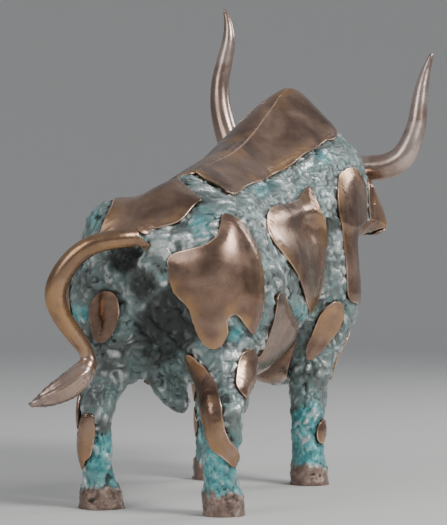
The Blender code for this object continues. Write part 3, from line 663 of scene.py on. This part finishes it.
def plate_fields(points, normals, bare):
    """For the right of the hump and for all other plates: how deep each point lies, and its share of bevel."""
    side = ridge_gap(points)[1]
    low = np.full(len(points), -float(PLATE_REACH))
    right, left, others = low.copy(), low.copy(), low.copy()
    bevel = np.zeros(len(points))
    for view, plates in VIEWS.items():
        flat, across, facing = drawn_from(points, normals, view)
        for name, corners in plates.items():
            depth, inward = depth_inside(flat, corners, PLATE_REACH)
            slant = inward[:, :1] * across + inward[:, 1:] * np.array((0, 0, 1.0))
            lean = np.sqrt(np.maximum(1 - (slant * normals).sum(1) ** 2, 0.1))
            depth = np.clip(depth / lean, -PLATE_REACH, PLATE_REACH)
            least = NEAR_FACING if view == "near" or name == "hump" else SIDE_FACING
            depth = np.minimum(depth, HORIZON * (facing - least))
            depth = kept_inside(points, depth, view, name)
            if name in ("saddle", "hump"):
                if view != "left":
                    right = np.maximum(right, depth)
                if view != "near":
                    left = np.maximum(left, depth)
                continue
            if view == "near":
                slope = BEVEL_DROP * np.clip(1 - depth / BEVEL_WIDTH, 0, 1) * np.maximum(-inward[:, 0], 0)
                bevel = np.where(depth > others, slope, bevel)
            others = np.maximum(others, depth)
    bevel = np.where(left > others, TUCK_DROP * (1 - eased(side, 0, TUCK_WIDTH)), bevel)
    others = np.maximum(others, np.minimum(left, side + TUCK_OVERLAP))
    clear = -bare - BARE_GAP
    return np.minimum(np.minimum(right, -side), clear), np.minimum(others, clear), bevel


def relief(points, bare, right, others, bevel, curves):
    """Outward offsets of the hump plate, the other bronze and the channels, and the channels' high spots."""
    plates = np.maximum(right, others)
    broad = lumps(points, LUMP_SIZE)
    pillow = pillows(points, PILLOW_SIZE)
    grit = lumps(points + 90, LUMP_SIZE / 3)
    hump = PLATE_CROWN * eased(right, 0, CROWN_WIDTH)
    crown = PLATE_CROWN * eased(others, 0, CROWN_WIDTH) - bevel
    bronze = np.where(bare > others, hair_strands(points, curves) + face_marks(points), crown)
    hooves = hoof_share(points, curves)
    cover = np.maximum(plates, bare)
    moat = MOAT_DROP * np.exp(-((cover + MOAT_WIDTH) / MOAT_WIDTH) ** 2)
    rise = PILLOW_RISE * eased(points[:, 2], 40, 80) * (1 - LEG_SHARE) + PILLOW_RISE * LEG_SHARE * (1 - hooves / 2)
    channel = CHANNEL_LUMPS / UNIT * broad + rise * (pillow - 0.4) + 0.2 * grit - moat + folds(points)
    channel = channel + boulders(points) - PLATE_RISE / UNIT * (1 - hooves) - bevel * eased(cover, -BESIDE, 0)
    beside = np.where(right > np.maximum(others, bare), hump, bronze)
    channel = np.where(cover > -EDGE_RADIUS, np.minimum(channel, beside - RIM_DEPTH), channel)
    channel = np.where(cover > UNDER_START, np.minimum(channel, UNDER_GAP - WALL), channel)
    # The high spots also take the painted highlight patches, where silver glints are painted
    peaks = broad * 0.5 + (pillow - 0.4) * 1.1 + grit * 0.1 + patch_share(points, PAINTED_HIGHLIGHT_PATCHES)
    return hump, bronze, channel, peaks, hooves


def pillows(points, size):
    """Round lumps between sharp creases, from 0 in a crease to about 1."""
    high = []
    for point in points:
        spot = Vector(point) / size
        high.append(2 * abs(noise.noise(spot + CRINKLE * noise.noise_vector(spot * 0.6))))
    return np.array(high)


def ragged_root(points):
    """How far each point lies from the ragged end of the bare tail at its root."""
    root = np.array(LIMBS["tail_root"][0][-1][:3], float)
    return np.linalg.norm(points - root, axis=1) - ROOT_REACH + ROOT_RAGS * lumps(points, LUMP_SIZE)


def hoof_share(points, curves):
    """How much each point belongs to a hoof, with a ragged upper rim."""
    ragged = points[:, 2] + 3.5 * lumps(points + 20, LUMP_SIZE * 0.8)
    return eased(-ragged, -HOOF_TOP - 1.5, -HOOF_TOP + 1.5)


def folds(points):
    """Folds of cast metal that run down under the tail to the thigh."""
    flat = drawn_from(points, np.zeros_like(points), "near")[0]
    turn = math.radians(FOLD_TURN)
    across = flat @ np.array((math.cos(turn), math.sin(turn))) + 4 * lumps(points + 60, LUMP_SIZE * 2)
    part = patch_share(points, FOLD_PATCHES)
    return FOLD_RISE * part * (np.abs(np.sin(math.pi * across / FOLD_SIZE)) - 0.5)


def patch_share(points, patches):
    """How much each point belongs to soft round patches that are drawn from the seat."""
    flat = drawn_from(points, np.zeros_like(points), "near")[0]
    share = np.zeros(len(points))
    for across, up, width, amount in patches:
        reach = np.hypot(flat[:, 0] - across, flat[:, 1] - up) / width
        share = np.maximum(share, amount * np.exp(-reach ** 2))
    return share


def boulders(points):
    """Swollen lumps of cast metal that stand in the channels."""
    flat = drawn_from(points, np.zeros_like(points), "near")[0]
    high = np.zeros(len(points))
    near_side = points[:, 0] < 45
    for across, up, width, tall, rise in BOULDERS:
        reach = ((flat[:, 0] - across) / width) ** 2 + ((flat[:, 1] - up) / tall) ** 2
        high = np.maximum(high, rise * np.sqrt(np.clip(1 - reach, 0, 1)) * near_side)
    return high


def hair_strands(points, curves):
    """Grooves along the tuft at the end of the tail."""
    curve = curves["tuft"]
    start, end = curve[0, :3], curve[-1, :3]
    run = (end - start) / np.linalg.norm(end - start)
    side = np.cross(run, (0, 0, 1.0))
    side /= np.linalg.norm(side)
    up = np.cross(side, run)
    away = points - start
    along = away @ run
    angle = np.arctan2(away @ up, away @ side)
    part = eased(along, 2, 8) * eased(-limb_distance(points, curve), -3, -1)
    return part * STRAND_DEPTH * np.sin(STRANDS * angle + along / 6 + 0.8 * np.sin(along / 5))


def face_marks(points):
    """Nostrils, the line of the mouth and the hollows of the ears."""
    marks = np.zeros(len(points))
    for centre, width, deep in HOLLOWS:
        reach = np.linalg.norm(points - np.array(centre, float), axis=1) / width
        marks -= deep * np.exp(-reach ** 2)
    lip = points[:, 2] - MOUTH_HEIGHT - 0.35 * (points[:, 1] + 195)
    mouth = (points[:, 1] < -186) & (points[:, 2] < 140)
    return marks - mouth * MOUTH_DEPTH * np.exp(-(lip / 0.9) ** 2)


def cut_patch(data, triangles, field):
    """The part of the skin where the field is over zero, cut exactly where it is zero."""
    data = data.copy()
    field = field.copy()
    ends = np.unique(np.sort(np.vstack((triangles[:, :2], triangles[:, 1:], triangles[:, ::2])), axis=1), axis=0)
    crossing = ends[field[ends[:, 0]] * field[ends[:, 1]] < 0]
    share = field[crossing[:, 0]] / (field[crossing[:, 0]] - field[crossing[:, 1]])
    spots = data[crossing[:, 0]] + share[:, None] * (data[crossing[:, 1]] - data[crossing[:, 0]])
    for column, away in ((0, share), (1, 1 - share)):
        for pick in np.argsort(-away):
            if away[pick] < SNAP:
                data[crossing[pick, column]] = spots[pick]
                field[crossing[pick, column]] = 0
    crossing = crossing[field[crossing[:, 0]] * field[crossing[:, 1]] < 0]
    share = field[crossing[:, 0]] / (field[crossing[:, 0]] - field[crossing[:, 1]])
    cuts = data[crossing[:, 0]] + share[:, None] * (data[crossing[:, 1]] - data[crossing[:, 0]])
    numbers = {tuple(pair): len(data) + index for index, pair in enumerate(crossing.tolist())}
    signs = np.sign(field[triangles])
    whole = triangles[(signs >= 0).all(1) & (signs > 0).any(1)].tolist()
    for corners in triangles[(signs < 0).any(1) & (signs > 0).any(1)].tolist():
        outline = []
        for start, end in zip(corners, corners[1:] + corners[:1]):
            if field[start] >= 0:
                outline.append(start)
            if field[start] * field[end] < 0:
                outline.append(numbers[min(start, end), max(start, end)])
        whole.extend([outline[0], outline[turn], outline[turn + 1]] for turn in range(1, len(outline) - 1))
    faces = np.array(whole)
    used, faces = np.unique(faces, return_inverse=True)
    return np.vstack((data, cuts))[used], faces.reshape(-1, 3)


def islands(count, triangles):
    """A number for each point that is the same within each connected piece."""
    label = np.arange(count)
    ends = np.vstack((triangles[:, :2], triangles[:, 1:]))
    while True:
        lowest = np.minimum(label[ends[:, 0]], label[ends[:, 1]])
        fresh = label.copy()
        np.minimum.at(fresh, ends[:, 0], lowest)
        np.minimum.at(fresh, ends[:, 1], lowest)
        fresh = fresh[fresh]
        if (fresh == label).all():
            return label
        label = fresh


def rim_edges(triangles):
    """Directed edges that only one triangle has."""
    edges = np.vstack((triangles[:, [0, 1]], triangles[:, [1, 2]], triangles[:, [2, 0]]))
    keys = edges[:, 0] * (edges.max() + 1) + edges[:, 1]
    back = edges[:, 1] * (edges.max() + 1) + edges[:, 0]
    return edges[~np.isin(keys, back)]


def unit_length(vectors):
    """The same directions at length one."""
    return vectors / np.maximum(np.linalg.norm(vectors, axis=1), 1e-9)[:, None]


def face_directions(points, triangles):
    """The outward direction at each point of a patch from its own triangles alone."""
    a, b, c = (points[triangles[:, corner]] for corner in range(3))
    own = np.cross(b - a, c - a)
    total = np.zeros_like(points)
    for corner in range(3):
        np.add.at(total, triangles[:, corner], own)
    return unit_length(total)


def along_rim(values, local, rounds):
    """Values at the rim's points, each evened out with its neighbours along the rim."""
    count = np.bincount(local.ravel(), minlength=len(values))[:, None]
    for _ in range(rounds):
        total = np.zeros_like(values)
        np.add.at(total, local[:, 0], values[local[:, 1]])
        np.add.at(total, local[:, 1], values[local[:, 0]])
        values = 0.5 * values + 0.5 * total / np.maximum(count, 1)
    return values


def closed_shell(patch, triangles, offset_column, rounded, capped=False):
    """The patch as a closed shell: its outer face, a rounded rim, a wall and a back."""
    skin = patch[:, :3]
    normals = unit_length(patch[:, 3:6])
    outer = skin + normals * patch[:, offset_column][:, None]
    edges = rim_edges(triangles)
    rim, local = np.unique(edges, return_inverse=True)
    local = local.reshape(-1, 2)
    if rounded:
        outer[rim] = along_rim(outer[rim], local, RIM_ROUNDS)
    base = outer[rim]
    facing = face_directions(outer, triangles)
    facing[rim] = unit_length(along_rim(facing[rim], local, RIM_ROUNDS))
    run = base[local[:, 1]] - base[local[:, 0]]
    across = np.cross(run, facing[rim][local[:, 0]])
    away = np.zeros_like(base)
    np.add.at(away, local[:, 0], across)
    np.add.at(away, local[:, 1], across)
    away = unit_length(along_rim(unit_length(away), local, RIM_ROUNDS))
    directions = [facing]
    rings = [outer]
    starts = [rim]
    faces = [triangles]
    count = len(outer)
    profile = []
    if rounded:
        for step in range(1, EDGE_STEPS + 1):
            angle = math.pi / 2 * step / EDGE_STEPS
            profile.append((EDGE_RADIUS * math.sin(angle), EDGE_RADIUS * (1 - math.cos(angle)), angle))
        profile.append((EDGE_RADIUS, WALL, math.pi / 2))
    for sideways, down, angle in profile:
        rings.append(base + away * sideways - facing[rim] * down)
        directions.append(facing[rim] * math.cos(angle) + away * math.sin(angle))
        starts.append(count + np.arange(len(rim)))
        count += len(rim)
    if capped:
        rings.append(rings[-1].mean(0)[None])
        directions.append(-facing[rim].mean(0)[None])
        centre = count
        last = starts[-1]
        faces.append(np.stack((last[local[:, 1]], last[local[:, 0]], np.full(len(local), centre)), 1))
    else:
        rings.append(skin - normals * WALL)
        directions.append(-normals)
        starts.append(count + rim)
        faces.append(triangles[:, ::-1] + count)
    for upper, lower in zip(starts, starts[1:]):
        a, b = upper[local[:, 0]], upper[local[:, 1]]
        c, d = lower[local[:, 1]], lower[local[:, 0]]
        faces.append(np.stack((b, a, d), 1))
        faces.append(np.stack((b, d, c), 1))
    points = np.vstack(rings)
    extra = np.zeros((len(points), patch.shape[1] - 6))
    extra[:len(patch)] = patch[:, 6:]
    for start, (_, down, _) in zip(starts[1:], profile):
        extra[start] = patch[rim, 6:]
        extra[start, 0] = -down
    return points, np.vstack(faces), extra, np.vstack(directions)


def make_piece(name, points, triangles, extra, directions, material, slot_name):
    """A finished piece in metres that stands for the solid bull."""
    placed = (points - (*MIDDLE, 0)) * UNIT
    low, high = (np.array(corner) for corner in CAD_BOX)
    mesh = bpy.data.meshes.new(name)
    mesh.from_pydata(np.clip(placed, low, high).tolist(), [], triangles.tolist())
    for label, values in zip(SURFACE_VALUES, extra.T):
        layer = mesh.attributes.new(label, "FLOAT", "POINT")
        layer.data.foreach_set("value", values.astype(np.float32))
    mesh.shade_smooth()
    mesh.normals_split_custom_set_from_vertices(directions.tolist())
    mesh.materials.append(material)
    piece = bpy.data.objects.new(name, mesh)
    bpy.context.scene.collection.objects.link(piece)
    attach(piece, "root")
    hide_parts("bull")
    return piece


def split_shells(patch, triangles, make):
    """Each connected piece of a patch as a shell of its own, largest first."""
    label = islands(len(patch), triangles)[triangles[:, 0]]
    kinds, counts = np.unique(label, return_counts=True)
    for kind in kinds[np.argsort(-counts)]:
        own = triangles[label == kind]
        if len(own) < SMALLEST_PATCH:
            continue
        used, faces = np.unique(own, return_inverse=True)
        make(patch[used], faces.reshape(-1, 3))


def place_name(patch, tables, curves):
    """The name of the plate or limb that lies nearest to a patch."""
    middle = patch[:, :3].mean(0)
    best = {}
    for name in tables:
        if name in curves:
            best[name] = np.linalg.norm(curves[name][:, :3].mean(0) - middle)
    return min(best, key=best.get)


def bull_pieces():
    """The whole figure: channels, plates and bare limbs."""
    curves = {name: through(points) for name, (points, _) in LIMBS.items()}
    figure = bpy.data.objects.new("skin", rough_shape(curves))
    bpy.context.scene.collection.objects.link(figure)
    for grain, rounds in ((COARSE_GRAIN, 9), (FINE_GRAIN, 7)):
        reskin(figure, grain)
        fit_to_flesh(figure.data, curves, rounds)
    mesh = figure.data
    points = coordinates(mesh)
    normals = normals_of(mesh)
    mesh.calc_loop_triangles()
    flat = np.empty(len(mesh.loop_triangles) * 3, int)
    mesh.loop_triangles.foreach_get("vertices", flat)
    triangles = flat.reshape(-1, 3)
    bpy.data.objects.remove(figure)
    points[:, 2] = np.maximum(points[:, 2], 0)
    bare = np.minimum(bare_depth(points, curves), ragged_root(points))
    bare = np.maximum(bare, HEAD_BACK - points[:, 1] + HEAD_RAGS * lumps(points, LUMP_SIZE))
    right, others, bevel = plate_fields(points, normals, bare)
    hump_offset, bronze_offset, channel_offset, peaks, hooves = relief(points, bare, right, others, bevel, curves)
    plates = np.maximum(right, others)
    cover = np.maximum(plates, bare)
    rim = np.where(bare > plates, np.clip(bare * LIMB_RIM, None, PLATE_REACH), plates)
    data = np.column_stack((points, normals, rim, peaks, teal_and_shade_share(points), hooves, edge_wear_and_highlight_share(points),
                            tone_share(points, curves), hump_offset, bronze_offset, channel_offset))
    bronze = bronze_material()
    verdigris = verdigris_material()
    for name, way in (("channels_right", -1), ("channels_left", 1)):
        patch, faces = cut_patch(data, triangles, np.minimum(UNDERLAP - cover, way * (points[:, 0] - SEAM)))
        shell = closed_shell(patch, faces, CHANNEL_COLUMN, rounded=False)
        make_piece(name, *shell, verdigris, "verdigris")
    patch, faces = cut_patch(data, triangles, right)
    numbers = {}

    def plate(patch, faces, name="plate", column=BRONZE_COLUMN):
        numbers[name] = numbers.get(name, 0) + 1
        shell = closed_shell(patch, faces, column, rounded=True)
        make_piece(f"{name}_{numbers[name]:02d}", *shell, bronze, "bronze")

    split_shells(patch, faces, lambda own, turns: plate(own, turns, "hump_plate", HUMP_COLUMN))
    split_shells(*cut_patch(data, triangles, others), plate)

    def limb(patch, faces):
        shell = closed_shell(patch, faces, BRONZE_COLUMN, rounded=True, capped=True)
        name = place_name(patch, BARE, curves)
        make_piece(name, *shell, bronze, "bronze")

    split_shells(*cut_patch(data, triangles, bare), limb)


def teal_and_shade_share(points):
    """How blue-green the channels are at each point: most on the shins, in patches elsewhere, and below zero where
    painted shade blackens the recesses.
    """
    shins = 0.6 * eased(-points[:, 2], -55, -30)
    rear = eased(points[:, 1], 10, 40)
    return np.maximum(shins, patch_share(points, TEAL_PATCHES)) - rear * patch_share(points, PAINTED_SHADE_PATCHES)


def edge_wear_and_highlight_share(points):
    """How bright the plates' edges are, worn and with painted highlights: most along the ridge, in places elsewhere.
    """
    ridge = np.exp(-(ridge_gap(points)[1] / 2.5) ** 2) * (points[:, 2] > HUMP_FOOT)
    return np.maximum(ridge, patch_share(points, WORN_AND_HIGHLIT_SPOTS))


def tone_share(points, curves):
    """How pale each point of the bronze is: over zero on the horns and the tuft, under zero on the golden tail."""
    tone = np.zeros(len(points))
    for name, amount in TONES.items():
        tone += amount * eased(-limb_distance(points, curves[name]), -4, -1)
    return tone


class Wiring:
    """Builds a material's nodes one after the other."""

    def __init__(self, name):
        self.material = bpy.data.materials.new(name)
        self.material.use_nodes = True
        self.tree = self.material.node_tree
        self.shader = self.tree.nodes["Principled BSDF"]

    def node(self, kind, settings=None, **inputs):
        """A node of a kind, with settings and inputs, each a value or another node's output."""
        made = self.tree.nodes.new(kind)
        for key, value in (settings or {}).items():
            setattr(made, key, value)
        for key, value in inputs.items():
            self.feed(made, key.replace("_", " "), value)
        return made

    def feed(self, made, key, value):
        """Set or link one input, by name or number."""
        socket = made.inputs[int(key)] if key.isdigit() else made.inputs[key]
        if isinstance(value, bpy.types.NodeSocket):
            self.tree.links.new(value, socket)
        else:
            socket.default_value = value

    def place(self):
        """Object coordinates."""
        return self.node("ShaderNodeTexCoord").outputs["Object"]

    def grain(self, size, detail=4.0, roughness=0.55, stretch=(1, 1, 1), distortion=0.0):
        """Noise with features of about a size in millimetres."""
        mapped = self.node("ShaderNodeMapping", Vector=self.place(), Scale=stretch)
        made = self.node("ShaderNodeTexNoise", Vector=mapped.outputs[0], Scale=1000 / size, Detail=detail,
                         Roughness=roughness, Distortion=distortion)
        return made.outputs["Fac"]

    def value(self, label):
        """A value kept on the mesh."""
        return self.node("ShaderNodeAttribute", {"attribute_name": label}).outputs["Fac"]

    def ramp(self, source, low, high, bottom=0.0, top=1.0):
        """A smooth step of a value."""
        made = self.node("ShaderNodeMapRange", {"interpolation_type": "SMOOTHSTEP"}, Value=source)
        for key, value in (("From Min", low), ("From Max", high), ("To Min", bottom), ("To Max", top)):
            made.inputs[key].default_value = value
        return made.outputs[0]

    def math(self, operation, first, second):
        """A sum or product."""
        made = self.node("ShaderNodeMath", {"operation": operation})
        self.feed(made, "0", first)
        self.feed(made, "1", second)
        return made.outputs[0]

    def mix(self, share, first, second):
        """One colour over another."""
        made = self.node("ShaderNodeMix", {"data_type": "RGBA"})
        self.feed(made, "0", share)
        self.feed(made, "6", first)
        self.feed(made, "7", second)
        return made.outputs[2]

    def colours(self, source, stops):
        """A colour ramp."""
        made = self.node("ShaderNodeValToRGB", Fac=source)
        ramp = made.color_ramp
        while len(ramp.elements) < len(stops):
            ramp.elements.new(0.5)
        for element, (place, colour) in zip(ramp.elements, stops):
            element.position = place
            element.color = (*colour, 1)
        return made.outputs[0]

    def bump(self, height, distance, strength=1.0, under=None):
        """A bump of a height in millimetres."""
        made = self.node("ShaderNodeBump", Height=height, Strength=strength, Distance=distance / 1000)
        if under is not None:
            self.feed(made, "Normal", under)
        return made.outputs[0]


def bronze_material():
    """Brown polished bronze, mottled, golden near some rims, bright along parts of the edges where they are worn and
    painted with highlights, and darkened by painted shade down the plates' side walls.
    """
    w = Wiring("polished_bronze")
    cloud = w.grain(34, 3, 0.55, distortion=0.5)
    fleck = w.grain(6, 4, 0.6)
    blend = w.math("ADD", cloud, w.math("MULTIPLY", w.math("SUBTRACT", fleck, 0.5), 0.22))
    brown = w.colours(blend, BRONZE_BROWNS)
    rim = w.value("rim")
    warm = w.math("MULTIPLY", w.ramp(rim, 0, 11, 1, 0), w.ramp(w.grain(26, 2), 0.46, 0.62))
    tone = w.value("tone")
    cloudy = w.ramp(w.grain(24, 3), 0.4, 0.6, 0.25, 0.8)
    pale = w.mix(w.math("MULTIPLY", w.ramp(tone, 0, 1), cloudy), brown, (*PALE_BRONZE, 1))
    gilt = w.math("MULTIPLY", w.ramp(tone, 0, -1), cloudy)
    golden = w.mix(w.math("MAXIMUM", w.math("MULTIPLY", warm, 0.75), gilt), pale, (*GOLDEN, 1))
    # Painted highlight and wear: parts of the edges are painted a bright worn colour
    wear_and_highlight_share = w.math("MAXIMUM", w.ramp(w.grain(17, 3), 0.46, 0.62, 0.1, 0.8), w.value("edge_wear_and_highlight"))
    edge = w.math("MULTIPLY", w.ramp(w.math("ABSOLUTE", rim, 0.0), 0.1, 0.65, 1, 0), wear_and_highlight_share)
    worn_and_highlit = w.mix(edge, golden, (*WORN_AND_HIGHLIT_EDGE, 1))
    # Painted shade: the plates' side walls darken towards the crevice colour
    w.feed(w.shader, "Base Color", w.mix(w.ramp(rim, -0.6, -1.8, 0, 0.75), worn_and_highlit, (*PAINTED_CREVICE_SHADE, 1)))
    w.shader.inputs["Metallic"].default_value = 0.85
    w.feed(w.shader, "Roughness", w.ramp(w.grain(13, 4, 0.6), 0.3, 0.7, 0.2, 0.34))
    ripple = w.bump(w.grain(18, 2, 0.5), 0.3)
    w.feed(w.shader, "Normal", w.bump(w.grain(1.6, 3, 0.6), 0.02, 1.0, ripple))
    return w.material


def verdigris_material():
    """Rough cast metal under blue-green patina, with painted silver highlights on its high spots and painted shade,
    near black, in its crevices and recesses.
    """
    w = Wiring("verdigris_casting")
    mottle = w.math("MULTIPLY", w.math("SUBTRACT", w.grain(3, 3, 0.55), 0.5), 0.35)
    peak = w.math("ADD", w.value("peak"), mottle)
    patina = w.colours(w.grain(15, 3, 0.55, distortion=0.8), VERDIGRIS_GREENS)
    teal_and_shade = w.math("ADD", w.value("teal_and_shade"), w.math("MULTIPLY", w.math("SUBTRACT", w.grain(16, 3), 0.5), 1.1))
    green = w.mix(w.ramp(teal_and_shade, 0.25, 0.75, 0, 0.92), patina, w.colours(w.grain(5, 4, 0.6), TEALS))
    # Painted shade: where the blue-green value falls below zero, the recesses are painted near black
    recess_shaded = w.mix(w.ramp(teal_and_shade, -0.15, -0.75), green, (*PAINTED_RECESS_SHADE, 1))
    hoof = w.mix(w.value("hoof"), recess_shaded, w.colours(w.grain(8, 4, 0.6), HOOF_BROWNS))
    # Painted shade: the relief's low spots and the strips beside the plates darken towards black
    deep = w.ramp(peak, -0.62, -0.25, 0.9, 0)
    beside = w.math("MULTIPLY", w.ramp(w.value("rim"), -1.6, -0.5), w.ramp(w.grain(9, 3), 0.36, 0.6, 0.1, 1))
    dark = w.mix(w.math("MAXIMUM", deep, w.math("MULTIPLY", beside, 0.6)), hoof, (*PAINTED_CREVICE_SHADE, 1))
    # Painted highlight: the high spots and the highlight patches are painted silver, less on the hooves and in the
    # painted shade
    bare = w.math("MULTIPLY", w.ramp(peak, 0.1, 0.8), w.ramp(w.grain(14, 2, 0.5), 0.38, 0.62))
    lit = w.math("MULTIPLY", bare, w.ramp(w.value("hoof"), 0, 1, 0.9, 0.25))
    glint = w.math("MULTIPLY", lit, w.ramp(w.value("teal_and_shade"), -0.6, -0.1, 0.12, 1))
    w.feed(w.shader, "Base Color", w.mix(glint, dark, (*PAINTED_GLINT, 1)))
    shine = w.math("MAXIMUM", glint, w.value("hoof"))
    w.feed(w.shader, "Metallic", w.ramp(shine, 0, 1, 0.3, 0.75))
    w.feed(w.shader, "Roughness", w.ramp(glint, 0, 1, 0.42, 0.24))
    w.shader.inputs["Coat Weight"].default_value = 0.35
    w.shader.inputs["Coat Roughness"].default_value = 0.2
    pits = w.bump(w.grain(3, 5, 0.6), 0.9)
    w.feed(w.shader, "Normal", w.bump(w.grain(1.3, 3, 0.55), 0.18, 1.0, pits))
    return w.material


def floor_and_light():
    """A pale floor that sweeps up all round into a wall, three soft lamps and a grey room."""
    outline = [(0, 0), (SWEEP_START, 0)]
    for step in range(1, SWEEP_STEPS + 1):
        angle = math.pi / 2 * step / SWEEP_STEPS
        outline.append((SWEEP_START + SWEEP_RADIUS * math.sin(angle), SWEEP_RADIUS * (1 - math.cos(angle))))
    bm = bmesh.new()
    line = [bm.verts.new((reach, 0, height - FLOOR_GAP)) for reach, height in outline]
    for start, end in zip(line, line[1:]):
        bm.edges.new((start, end))
    bmesh.ops.spin(bm, geom=bm.verts[:] + bm.edges[:], axis=(0, 0, 1), steps=SWEEP_SIDES, angle=2 * math.pi)
    bmesh.ops.remove_doubles(bm, verts=bm.verts, dist=0.0001)
    bmesh.ops.recalc_face_normals(bm, faces=bm.faces)
    if next(iter(bm.faces)).normal.z < 0:
        bmesh.ops.reverse_faces(bm, faces=bm.faces)
    mesh = bpy.data.meshes.new("floor")
    bm.to_mesh(mesh)
    bm.free()
    mesh.shade_smooth()
    floor = bpy.data.objects.new("floor", mesh)
    bpy.context.scene.collection.objects.link(floor)
    w = Wiring("pale_floor")
    w.shader.inputs["Base Color"].default_value = (*FLOOR, 1)
    w.shader.inputs["Roughness"].default_value = 0.7
    floor.data.materials.append(w.material)
    for name, place, energy, size in LAMPS:
        lamp = bpy.data.lights.new(name, "AREA")
        lamp.energy = energy
        lamp.size = size
        stand = bpy.data.objects.new(name, lamp)
        stand.location = place
        stand.rotation_euler = (Vector((0, 0, 0.13)) - Vector(place)).to_track_quat("-Z", "Y").to_euler()
        bpy.context.scene.collection.objects.link(stand)
    world = bpy.data.worlds.new("room")
    world.use_nodes = True
    world.node_tree.nodes["Background"].inputs["Color"].default_value = (*ROOM, 1)
    world.node_tree.nodes["Background"].inputs["Strength"].default_value = ROOM_STRENGTH
    bpy.context.scene.world = world


def camera():
    """The camera behind the right hip, a little under a metre away and low over the floor."""
    made = bpy.data.cameras.new("camera")
    made.lens = 36 * FOCAL_PIXELS / 525
    made.sensor_width = 36
    made.clip_start = 0.01
    stand = bpy.data.objects.new("camera", made)
    turn = math.radians(EYE_TURN)
    rise = math.radians(EYE_RISE)
    ahead = Vector((math.sin(turn) * math.cos(rise), -math.cos(turn) * math.cos(rise), math.sin(rise)))
    stand.location = [(place - shift) / 1000 for place, shift in zip(EYE_EXACT, (*MIDDLE, 0))]
    stand.rotation_euler = ahead.to_track_quat("-Z", "Y").to_euler()
    bpy.context.scene.collection.objects.link(stand)
    bpy.context.scene.camera = stand


camera()
floor_and_light()
bull_pieces()
